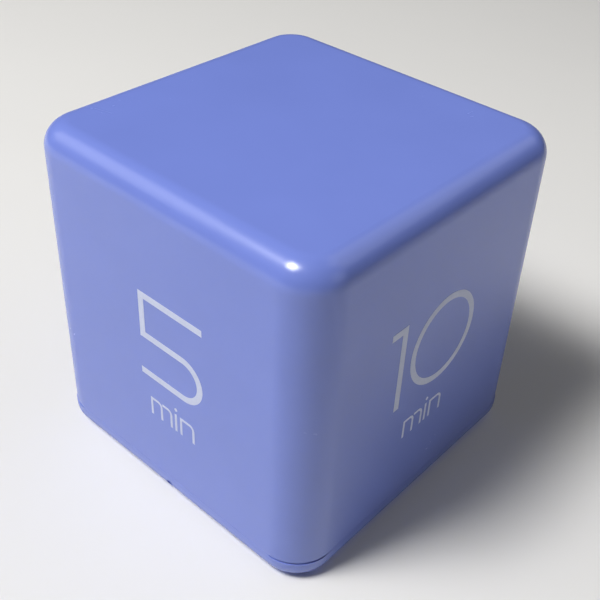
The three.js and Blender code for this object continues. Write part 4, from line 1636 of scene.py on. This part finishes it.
@dataclass
class Door(Layout):
    """The battery door: a leaf with two hooks, a bowed latch and grip grooves."""

    end: float = 25.7
    low: float = -21.2
    high: float = 0.8
    thickness: float = 1.8
    hook: float = 5.5
    hook_half: float = 2.5
    hook_reach: float = 1.1
    latch_half: float = 3.3
    bow_inner: float = 24.2
    bow_outer: float = 25.0
    bow_foot: float = 0.9
    strip: float = 0.7
    top: float = 4.2
    catch_half: float = 3.0
    catch: Span = (2.3, 3.7)
    catch_reach: float = 0.5
    groove_half: float = 0.35
    groove_round: float = 0.33
    groove_reach: float = 4.5
    groove_depth: float = 0.4
    groove_pitch: float = 1.7
    corner: float = 0.6
    broken_edge: float = 0.25

    def build(self, finish: Material) -> None:
        """Model the door and dress it.

        Args:
            finish: The case plastic.
        """
        door = Bench.block(about(0.0, self.end), (self.low, self.high), (0.0, self.thickness),
                           self.corner, 4)
        Bench.bevel(door, self.broken_edge, 3, lambda edge: at_height(edge, 0.0))
        Bench.combine(door, Combine.CUT, [
            Bench.block((self.bow_inner, self.end + 1), about(self.bay_middle, self.latch_half),
                        (-1.0, self.thickness + 1))])
        hooks = [self._hook(self.bay_middle + offset) for offset in (-self.hook, self.hook)]
        Bench.combine(door, Combine.JOIN, [*hooks, self._bow(), self._catch()])
        Bench.combine(door, Combine.CUT, [self._groove(k) for k in range(4)])
        Bench.hand_over(door, "door", finish, "battery_door", "door", "battery_door")

    def _hook(self, y: float) -> Piece:
        """Make one hook, with its free edges rounded.

        Args:
            y: Its place.

        Returns:
            The hook.
        """
        tip = -self.end - self.hook_reach
        hook = Bench.block((tip, self.hook_reach - self.end), about(y, self.hook_half),
                           (1.0, self.thickness))
        Bench.bevel(hook, self.broken_edge, 3, lambda edge: near(spot(edge).x, tip))
        return hook

    def _bow(self) -> Piece:
        """Draw the bowed strip of the latch, seen from the side, and give it its width.

        Returns:
            The strip.
        """
        pen = Pen(self.strip)
        half = self.strip / 2
        radius = (self.bow_outer - self.bow_inner) / 2 + half
        pen.start(self.bow_inner - half, self.bow_foot, 90,
                  self.top - half - radius - self.bow_foot)
        pen.turn(-180, radius)
        pen.run(self.top - half - radius)
        return Bench.settle(pen.thicken(-self.catch_half, self.catch_half),
                            moved(0, self.bay_middle, 0) @ rotated(90, "X"))

    def _catch(self) -> Piece:
        """Make the wedge that snaps behind the cover.

        Returns:
            The wedge.
        """
        tip = self.end + self.catch_reach
        catch = Bench.block((self.end - 0.4, tip), about(self.bay_middle, self.catch_half),
                            self.catch)
        Bench.bevel(catch, self.catch_reach, 1, lambda edge: near(spot(edge).x, tip)
                    and abs(edge.verts[0].co.y - edge.verts[1].co.y) > 5 * MM)
        return catch

    def _groove(self, number: int) -> Piece:
        """Make the tool for one grip groove, with a round bottom.

        Args:
            number: Which of them, from 0.

        Returns:
            The tool.
        """
        x = self.bow_inner - self.strip - (number + 1) * self.groove_pitch
        tool = Bench.block(about(x, self.groove_half), about(self.bay_middle, self.groove_reach),
                           (-1.0, self.groove_depth))
        Bench.bevel(tool, self.groove_round, 4,
                    lambda edge: at_height(edge, self.groove_depth))
        return tool


@dataclass
class Screw:
    """A self cutting screw with a low domed head, a cross recess and a thread."""

    head: Sequence[Span]
    shank_radius: float
    core_radius: float
    thread: Span
    tip: float
    arm: float = 1.43
    drive: float = 0.7
    depth: float = 0.8
    pitch: float = 0.9
    ridge: float = 0.34
    ridge_rise: float = 0.24
    ridge_sink: float = 0.06

    def model(self) -> Piece:
        """Model one screw along Z, head first, from the origin up.

        Returns:
            The screw.
        """
        start, shank, core = self.thread[0], self.shank_radius, self.core_radius
        profile = [*self.head, (shank, self.head[-1][1]), (shank, start - 0.2), (core, start),
                   (core, self.tip - 1.0), (core * 0.25, self.tip)]
        screw = Bench.turned(profile, 32)
        arm, drive = self.arm, self.drive / 2
        Bench.combine(screw, Combine.CUT, [self._arm(arm, drive), self._arm(drive, arm)])
        return Bench.join(screw, self._ridge())

    def _arm(self, across: float, along: float) -> Piece:
        """Make the tool for one arm of the recess, narrower at its bottom.

        Args:
            across: Its reach along X.
            along: Its reach along Y.

        Returns:
            The tool.
        """
        tool = Bench.block(about(0.0, across), about(0.0, along), (-1.0, self.depth))
        Bench.pick(tool, Part.FACE, lambda item: near(spot(item).z, self.depth))
        bpy.ops.transform.resize(value=(0.62, 0.62, 1), center_override=(0, 0, self.depth * MM))
        Bench.clear()
        return tool

    def _ridge(self) -> Piece:
        """Wind the thread's ridge round the core, three sided and sunk a little into it.

        Returns:
            The ridge.
        """
        reach = self.shank_radius + self.ridge_rise - self.core_radius + self.ridge_sink
        middle = self.core_radius - self.ridge_sink + reach / 3
        size = Matrix.Diagonal((self.ridge / math.sqrt(3) * MM, reach / 1.5 * MM, 1.0, 1.0))
        section = (moved(middle, 0, self.thread[0]) @ rotated(90, "X") @ rotated(-90, "Z")
                   @ size)
        turns = (self.thread[1] - self.thread[0]) / self.pitch
        return Bench.wind(3, section, turns, self.pitch * turns, 20)


@dataclass
class Fasteners(Layout):
    """The four case screws from below and the two board screws from above."""

    sink: float = 0.9
    board_head_top: float = 21.9

    def build(self, finish: Material) -> None:
        """Model one screw of each kind and copy it to its places, each turned its own way.

        Args:
            finish: The zinc plating.
        """
        case = Screw(head=((1.2, 0.0), (1.8, 0.07), (2.12, 0.3), (2.28, 0.65), (2.3, 1.4),
                           (2.2, 1.5)),
                     shank_radius=1.1, core_radius=0.85, thread=(2.6, 9.4), tip=10.5)
        board = Screw(head=((1.1, 0.0), (1.72, 0.12), (1.95, 0.45), (2.0, 0.75), (2.0, 1.22),
                            (1.92, 1.3)),
                      shank_radius=0.9, core_radius=0.68, thread=(3.2, 7.3), tip=8.3, arm=1.24,
                      depth=0.65, pitch=0.8, ridge=0.3)
        self._drive(case, "case_screw_", finish, [
            moved(sx * self.column, sy * self.column, self.sink) @ rotated(37 * number, "Z")
            for number, (sx, sy) in enumerate(((1, 1), (-1, 1), (-1, -1), (1, -1)), 1)])
        self._drive(board, "board_screw_", finish, [
            moved(x, y, self.board_head_top) @ rotated(25 * number, "Z") @ rotated(180, "X")
            for number, (x, y) in enumerate(((-self.post_x, self.post_front),
                                             (self.post_x, self.post_back)), 1)])

    @staticmethod
    def _drive(screw: Screw, name: str, finish: Material, places: Sequence[Matrix]) -> None:
        """Drive copies of one screw.

        Args:
            screw: The screw.
            name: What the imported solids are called, before their number.
            finish: The zinc plating.
            places: Where the copies go.
        """
        model = screw.model()
        for number, place in enumerate(places, 1):
            Bench.stand_in(model, place, f"{name}{number}", finish, "screw_steel")
        Bench.discard(model)


@dataclass
class Knob(Layout):
    """The knob of the power switch, with grip ridges and the fork that drives the slider."""

    x: float = 13.53
    length: float = 5.0
    width: float = 4.4
    low: float = 0.25
    thickness: float = 0.5
    corner: float = 0.5
    broken_edge: float = 0.16
    ridges: int = 4
    ridge_half: float = 0.25
    ridge_reach: float = 1.7
    ridge_rise: float = 0.2
    ridge_round: float = 0.18
    fork: float = 1.5
    fork_half: float = 0.4
    fork_reach: float = 0.8
    fork_top: float = 2.9

    def build(self, finish: Material) -> None:
        """Model the knob and dress it.

        Args:
            finish: The knob plastic.
        """
        x, y, low = self.x, self.behind_bay, self.low
        knob = Bench.block(about(x, self.length / 2), about(y, self.width / 2),
                           (low, low + self.thickness), self.corner, 6)
        Bench.bevel(knob, self.broken_edge, 3, lambda edge: at_height(edge, low))
        tools = []
        for number in range(1, self.ridges + 1):
            middle = x - self.length / 2 + number * self.length / (self.ridges + 1)
            ridge = Bench.block(about(middle, self.ridge_half), about(y, self.ridge_reach),
                                about(low, self.ridge_rise))
            Bench.bevel(ridge, self.ridge_round, 4,
                        lambda edge: at_height(edge, low - self.ridge_rise))
            tools.append(ridge)
        tools += [Bench.block(about(x + side, self.fork_half), about(y, self.fork_reach),
                              (low + 0.3, self.fork_top))
                  for side in (-self.fork, self.fork)]
        Bench.combine(knob, Combine.JOIN, tools)
        Bench.hand_over(knob, "knob", finish, "switch_knob", "power_switch", "switch_knob")


@dataclass
class Cells(Layout):
    """Two cells side by side, head to tail, each with a jacket over a plated can."""

    radius: float = 5.25
    length: float = 44.5
    nub: float = 1.9
    nub_length: float = 1.0
    lap: float = 0.12
    plus_band: float = 9.5
    minus_end: float = 20.0

    def build(self, can: Material, jacket: Material, band: Material) -> None:
        """Model one cell and copy it to its two places.

        Args:
            can: The bare ends.
            jacket: The jacket's long part.
            band: The jacket's band at the plus end.
        """
        r, nub, top = self.radius, self.nub, self.length - self.nub_length
        face, band_at = r - 0.95, top - self.plus_band
        cell = Bench.turned([
            (face - 0.4, 0.1), (face - 0.2, 0.0), (face, 0.0), (face + 0.1, self.lap),
            (r - 0.5, self.lap - 0.08), (r - 0.14, 0.2), (r, 0.55), (r, band_at),
            (r, top - 0.55), (r - 0.14, top - 0.2), (r - 0.5, top), (face, top - 0.05),
            (face - 0.15, top - 0.3), (nub + 0.9, top - 0.3), (nub + 0.25, top - 0.25),
            (nub, top), (nub, self.length - 0.3), (nub - 0.1, self.length - 0.08),
            (nub - 0.35, self.length)], 64)
        for finish in (can, jacket, band):
            cell.data.materials.append(finish)
        for index, low in ((1, 0.04), (2, band_at + 0.01)):
            Bench.pick(cell, Part.FACE, lambda item: low < spot(item).z < top + 0.02
                       and max(math.hypot(c.co.x, c.co.y) for c in item.verts) > (r - 0.9) * MM
                       and len(item.verts) < 10)
            cell.active_material_index = index
            bpy.ops.object.material_slot_assign()
        for number, side in enumerate((-1, 1), 1):
            Bench.stand_in(cell, self.lying(side, self.minus_end), f"cell_{number}", jacket,
                           "cell_jacket")
        Bench.discard(cell)


@dataclass
class Springs(Layout):
    """The conical springs at the minus ends of the cells."""

    wire: float = 0.3
    wide: float = 3.2
    tip: float = 2.0
    turns: float = 3.25
    run: float = 4.4
    wall: float = 25.0
    slices: int = 26

    def build(self, finish: Material) -> None:
        """Wind one spring, narrow it slice by slice, and copy it to both ends of the bay.

        Args:
            finish: The spring's plating.
        """
        section = (moved(self.wide, 0, 0) @ rotated(90, "X")
                   @ Matrix.Diagonal((self.wire * MM,) * 3 + (1.0,)))
        spring = Bench.wind(12, section, self.turns, self.run, 40)
        deep = (self.run + 2 * self.wire) / self.slices
        for step in range(self.slices):
            low, high = -self.wire + step * deep, -self.wire + (step + 1) * deep
            share = 1 - max(0.0, (low + high) / 2) / self.run * (1 - self.tip / self.wide)
            Bench.pick(spring, Part.CORNER, lambda item: low <= spot(item).z < high)
            bpy.ops.transform.resize(value=(share, share, 1), center_override=(0, 0, 0))
        for name, side in (("negative_spring", 1), ("bridge_spring", -1)):
            Bench.stand_in(spring, self.lying(side, self.wall), name, finish, "spring_nickel")
        Bench.discard(spring)


@dataclass(frozen=True)
class Lamp:
    """A square lamp: where it hangs round the cube, its edge, and its share of full light."""

    name: str
    azimuth: float
    elevation: float
    size: float
    share: float
    distance: float = 1000.0


@dataclass
class Studio:
    """The table, the lamps, the sky and the camera."""

    azimuth: float = 41.328
    elevation: float = 36.259
    distance: float = 173.31
    target: float = 32.0
    roll: float = -2.435
    nod: float = -1.023
    swing: float = 1.306
    lens: float = 56.08
    shift: Span = (-0.02705, -0.06259)
    table: Colour = (0.79, 0.778, 0.755)
    opening: float = 60.0
    opening_corner: float = 5.4
    spread: float = 23.0
    sky: Colour = (0.96, 0.98, 1.0)
    sky_light: float = 0.02
    sky_shown: float = 0.9
    lamps: tuple[Lamp, ...] = (
        Lamp("key core", -115.0, 57.0, 200.0, 0.11),
        Lamp("key", -115.0, 57.0, 300.0, 0.58),
        Lamp("key high", -122.0, 60.0, 300.0, 0.4),
        Lamp("window", -150.0, 38.0, 500.0, 0.12),
        Lamp("back wall", 120.0, 50.0, 800.0, 0.01),
        Lamp("far fill", 60.0, 50.0, 250.0, 0.112, 350.0),
        Lamp("right fill", 10.0, 25.0, 150.0, 0.04, 300.0),
        Lamp("underside", -90.0, -82.0, 600.0, 0.5),
    )

    def build(self, effects: Effects) -> None:
        """Set up the whole studio.

        Args:
            effects: The shared groups.
        """
        bpy.context.scene.view_settings.view_transform = "Standard"
        self._camera()
        self._table(effects)
        self._world()
        for lamp in self.lamps:
            self._hang(lamp)

    @staticmethod
    def _toward(azimuth: float, elevation: float) -> Vector:
        """Give the way to a place round the cube, with azimuth 0 along +X."""
        turn, lift = math.radians(azimuth), math.radians(elevation)
        return Vector((math.cos(turn) * math.cos(lift), math.sin(turn) * math.cos(lift),
                       math.sin(lift)))

    def _camera(self) -> None:
        """Set up the camera at the photograph's angle, counted from -Y."""
        back = self._toward(self.azimuth - 90, self.elevation)
        right = (-back).cross(Vector((0, 0, 1))).normalized()
        rows = Matrix((right, right.cross(-back), back)).to_4x4()
        tilt = rotated(self.roll, "Z") @ rotated(self.nod, "X") @ rotated(self.swing, "Y")
        place = back * self.distance + Vector((0, 0, self.target))
        Bench.clear()
        bpy.ops.object.camera_add()
        camera = bpy.context.object
        camera.matrix_world = moved(*place) @ (tilt @ rows).transposed()
        camera.data.sensor_width = 36.0
        camera.data.lens = self.lens
        camera.data.shift_x, camera.data.shift_y = self.shift
        camera.data.clip_start = 0.005
        bpy.context.scene.camera = camera

    def _hang(self, lamp: Lamp) -> None:
        """Hang a square soft lamp that looks at the cube.

        Args:
            lamp: What hangs where.
        """
        way = self._toward(lamp.azimuth, lamp.elevation)
        Bench.clear()
        bpy.ops.object.light_add(type="AREA")
        light = bpy.context.object
        light.name = lamp.name
        light.data.energy = lamp.share * math.pi ** 2 * (lamp.distance * MM) ** 2
        light.data.size = lamp.size * MM
        place = way * lamp.distance + Vector((0, 0, self.target))
        light.matrix_world = moved(*place) @ way.to_track_quat("Z", "Y").to_matrix().to_4x4()

    def _world(self) -> None:
        """Give the sky an even pale light, and show it white."""
        world = bpy.context.scene.world = bpy.data.worlds.new("sky")
        world.use_nodes = True
        graph = Graph(world.node_tree)
        path = graph.add("LightPath")
        seen = path["Is Camera Ray"].do("MAXIMUM", path["Is Transmission Ray"])
        glow = graph.add("Background", {
            "Color": self.sky, "Strength": seen.remap(0.0, 1.0, self.sky_light, self.sky_shown)})
        graph.add("OutputWorld", {"Surface": glow[0]})

    def _table(self, effects: Effects) -> None:
        """Lay a wide table with an opening under the cube, a little below its base.

        Args:
            effects: The shared groups.
        """
        Bench.clear()
        bpy.ops.mesh.primitive_plane_add(size=self.opening * MM, location=(0, 0, -0.05 * MM))
        table = Bench.settle(bpy.context.object)
        Bench.open(table, Part.CORNER)
        bpy.ops.mesh.bevel(offset=self.opening_corner * MM, segments=6, affect="VERTICES")
        Bench.open(table, Part.EDGE)
        bpy.ops.mesh.extrude_edges_move()
        bpy.ops.transform.resize(value=(self.spread, self.spread, 1), center_override=(0, 0, 0))
        Bench.pick(table, Part.FACE, lambda item: spot(item).xy.length < 1)
        bpy.ops.mesh.delete(type="FACE")
        Bench.clear()
        table.name = "table"
        table.data.materials.append(TableTop("table top", self.table).make(effects))


@dataclass
class Inside:
    """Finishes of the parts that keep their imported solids."""

    tin: Colour = (0.6, 0.6, 0.57)
    copper: Colour = (0.5, 0.16, 0.05)
    aluminium: Colour = (0.6, 0.61, 0.62)
    epoxy: Colour = (0.012, 0.013, 0.015)
    ceramic: Colour = (0.38, 0.25, 0.13)
    cap: float = 0.55
    controller_lead: float = 1.03
    transistor_lead: float = 0.68

    def build(self, effects: Effects, steel: Material) -> None:
        """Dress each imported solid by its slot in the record, or by its name.

        Args:
            effects: The shared groups.
            steel: The zinc plating.
        """
        finishes = (
            ("contact_nickel", Plating("nickel strip", NICKEL, 0.24)),
            ("crystal_can", Plating("crystal lid", (0.6, 0.59, 0.55), 0.2, relief=0.1)),
            ("tilt_can", Plating("tilt switch can", (0.62, 0.6, 0.54), 0.22, relief=0.08)),
            ("tilt_base", Moulding("tilt switch base", (0.014, 0.014, 0.016), 0.4, 4.0)),
            ("tilt_ball", Plating("tilt switch ball", (0.6, 0.6, 0.6), 0.1)),
            ("sounder_brass", Plating("sounder brass", (0.62, 0.42, 0.12), 0.26,
                                      (0.08, 1.0, 1.0))),
            ("sounder_ceramic", Moulding("sounder ceramic", (0.66, 0.64, 0.58), 0.5, 5.0)),
            ("switch_frame", Plating("switch tin", (0.55, 0.55, 0.55), 0.3)),
            ("switch_black", Moulding("switch plastic", (0.015, 0.015, 0.017), 0.42, 4.0)),
            ("wire_red", Moulding("red wire", (0.42, 0.018, 0.014), relief=0.2)),
            ("wire_black", Moulding("black wire", (0.014, 0.016, 0.018), relief=0.2)),
        )
        made = {slot: finish.make(effects) for slot, finish in finishes}
        made["screw_steel"] = steel
        for part in frame["record"]["subparts"]:
            node, slot = part["node"], part["material_slot"]
            finish = self._parted(node, slot)
            if finish:
                made[node] = finish.make(effects)
            for place in frame["nodes"][node].material_slots:
                place.material = made.get(node, made.get(slot, place.material))
        LOG.info("dressed %d finishes inside", len(made))

    def _parted(self, node: str, slot: str) -> Optional[Parted]:
        """Choose the finish of a part on the board that has bare metal on it.

        Args:
            node: The part's name.
            slot: Its slot in the record.

        Returns:
            The finish, or None for a part of one finish.
        """
        across, along, up = ((a / MM, b / MM) for a, b in zip(*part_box(node)))
        middle = (sum(across) / 2, sum(along) / 2)
        name = node.replace("_", " ")
        if slot == "board":
            return Circuit(name, (0.012, 0.12, 0.045), self.tin, 0.3)
        if slot == "chip_black":
            bare = (self.controller_lead if node == "controller_chip"
                    else self.transistor_lead)
            return Tipped(name, self.epoxy, self.tin, 0.5, axis="Y", middle=middle[1],
                          half=(along[1] - along[0]) / 2 - bare)
        if slot in ("resistor", "capacitor_ceramic"):
            body = self.epoxy if slot == "resistor" else self.ceramic
            return Tipped(name, body, self.tin, 0.3, middle=middle[0],
                          half=(across[1] - across[0]) / 2 - self.cap)
        if slot == "coil":
            return Wound(name, (0.035, 0.03, 0.028), self.copper, 0.45, middle=middle)
        if slot == "capacitor_sleeve":
            return Sleeved(name, (0.02, 0.02, 0.03), self.aluminium, 0.3, middle=middle,
                           lid=up[1])
        return None


def main() -> None:
    """Build the studio and the timer, piece by piece."""
    logging.basicConfig(level=logging.INFO, format="%(name)s: %(message)s")
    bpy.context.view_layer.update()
    effects = Effects()
    case = Moulding("case plastic", (0.178, 0.241, 0.665), 0.25, 3.4, 0.2, scratches=0.08,
                    dusting=0.03, specular=0.68).make(effects)
    white = Moulding("knob plastic", (0.78, 0.8, 0.84), 0.42, 3.4, 0.25).make(effects)
    ink = Ink("white ink", (0.62, 0.665, 0.83), (0.3, 0.35, 0.72)).make(effects)
    zinc = Plating("zinc plating", (0.55, 0.56, 0.58), 0.3, (1.0, 0.1, 1.0)).make(effects)
    nickel = Plating("nickel wire", NICKEL, 0.22).make(effects)
    jacket = Moulding("cell jacket", (0.03, 0.17, 0.1), 0.3, 2.0, 0.1, coat=0.4).make(effects)
    band = Moulding("cell band", (0.62, 0.64, 0.64), 0.28, 2.0, 0.1, coat=0.4).make(effects)
    Studio().build(effects)
    Cup().build(case)
    Printing().build(ink)
    cover = Cover()
    cover.build(case)
    cover.mark(ink)
    Door().build(case)
    Fasteners().build(zinc)
    Knob().build(white)
    Cells().build(nickel, jacket, band)
    Springs().build(nickel)
    Inside().build(effects, zinc)


if __name__ == "__main__":
    main()
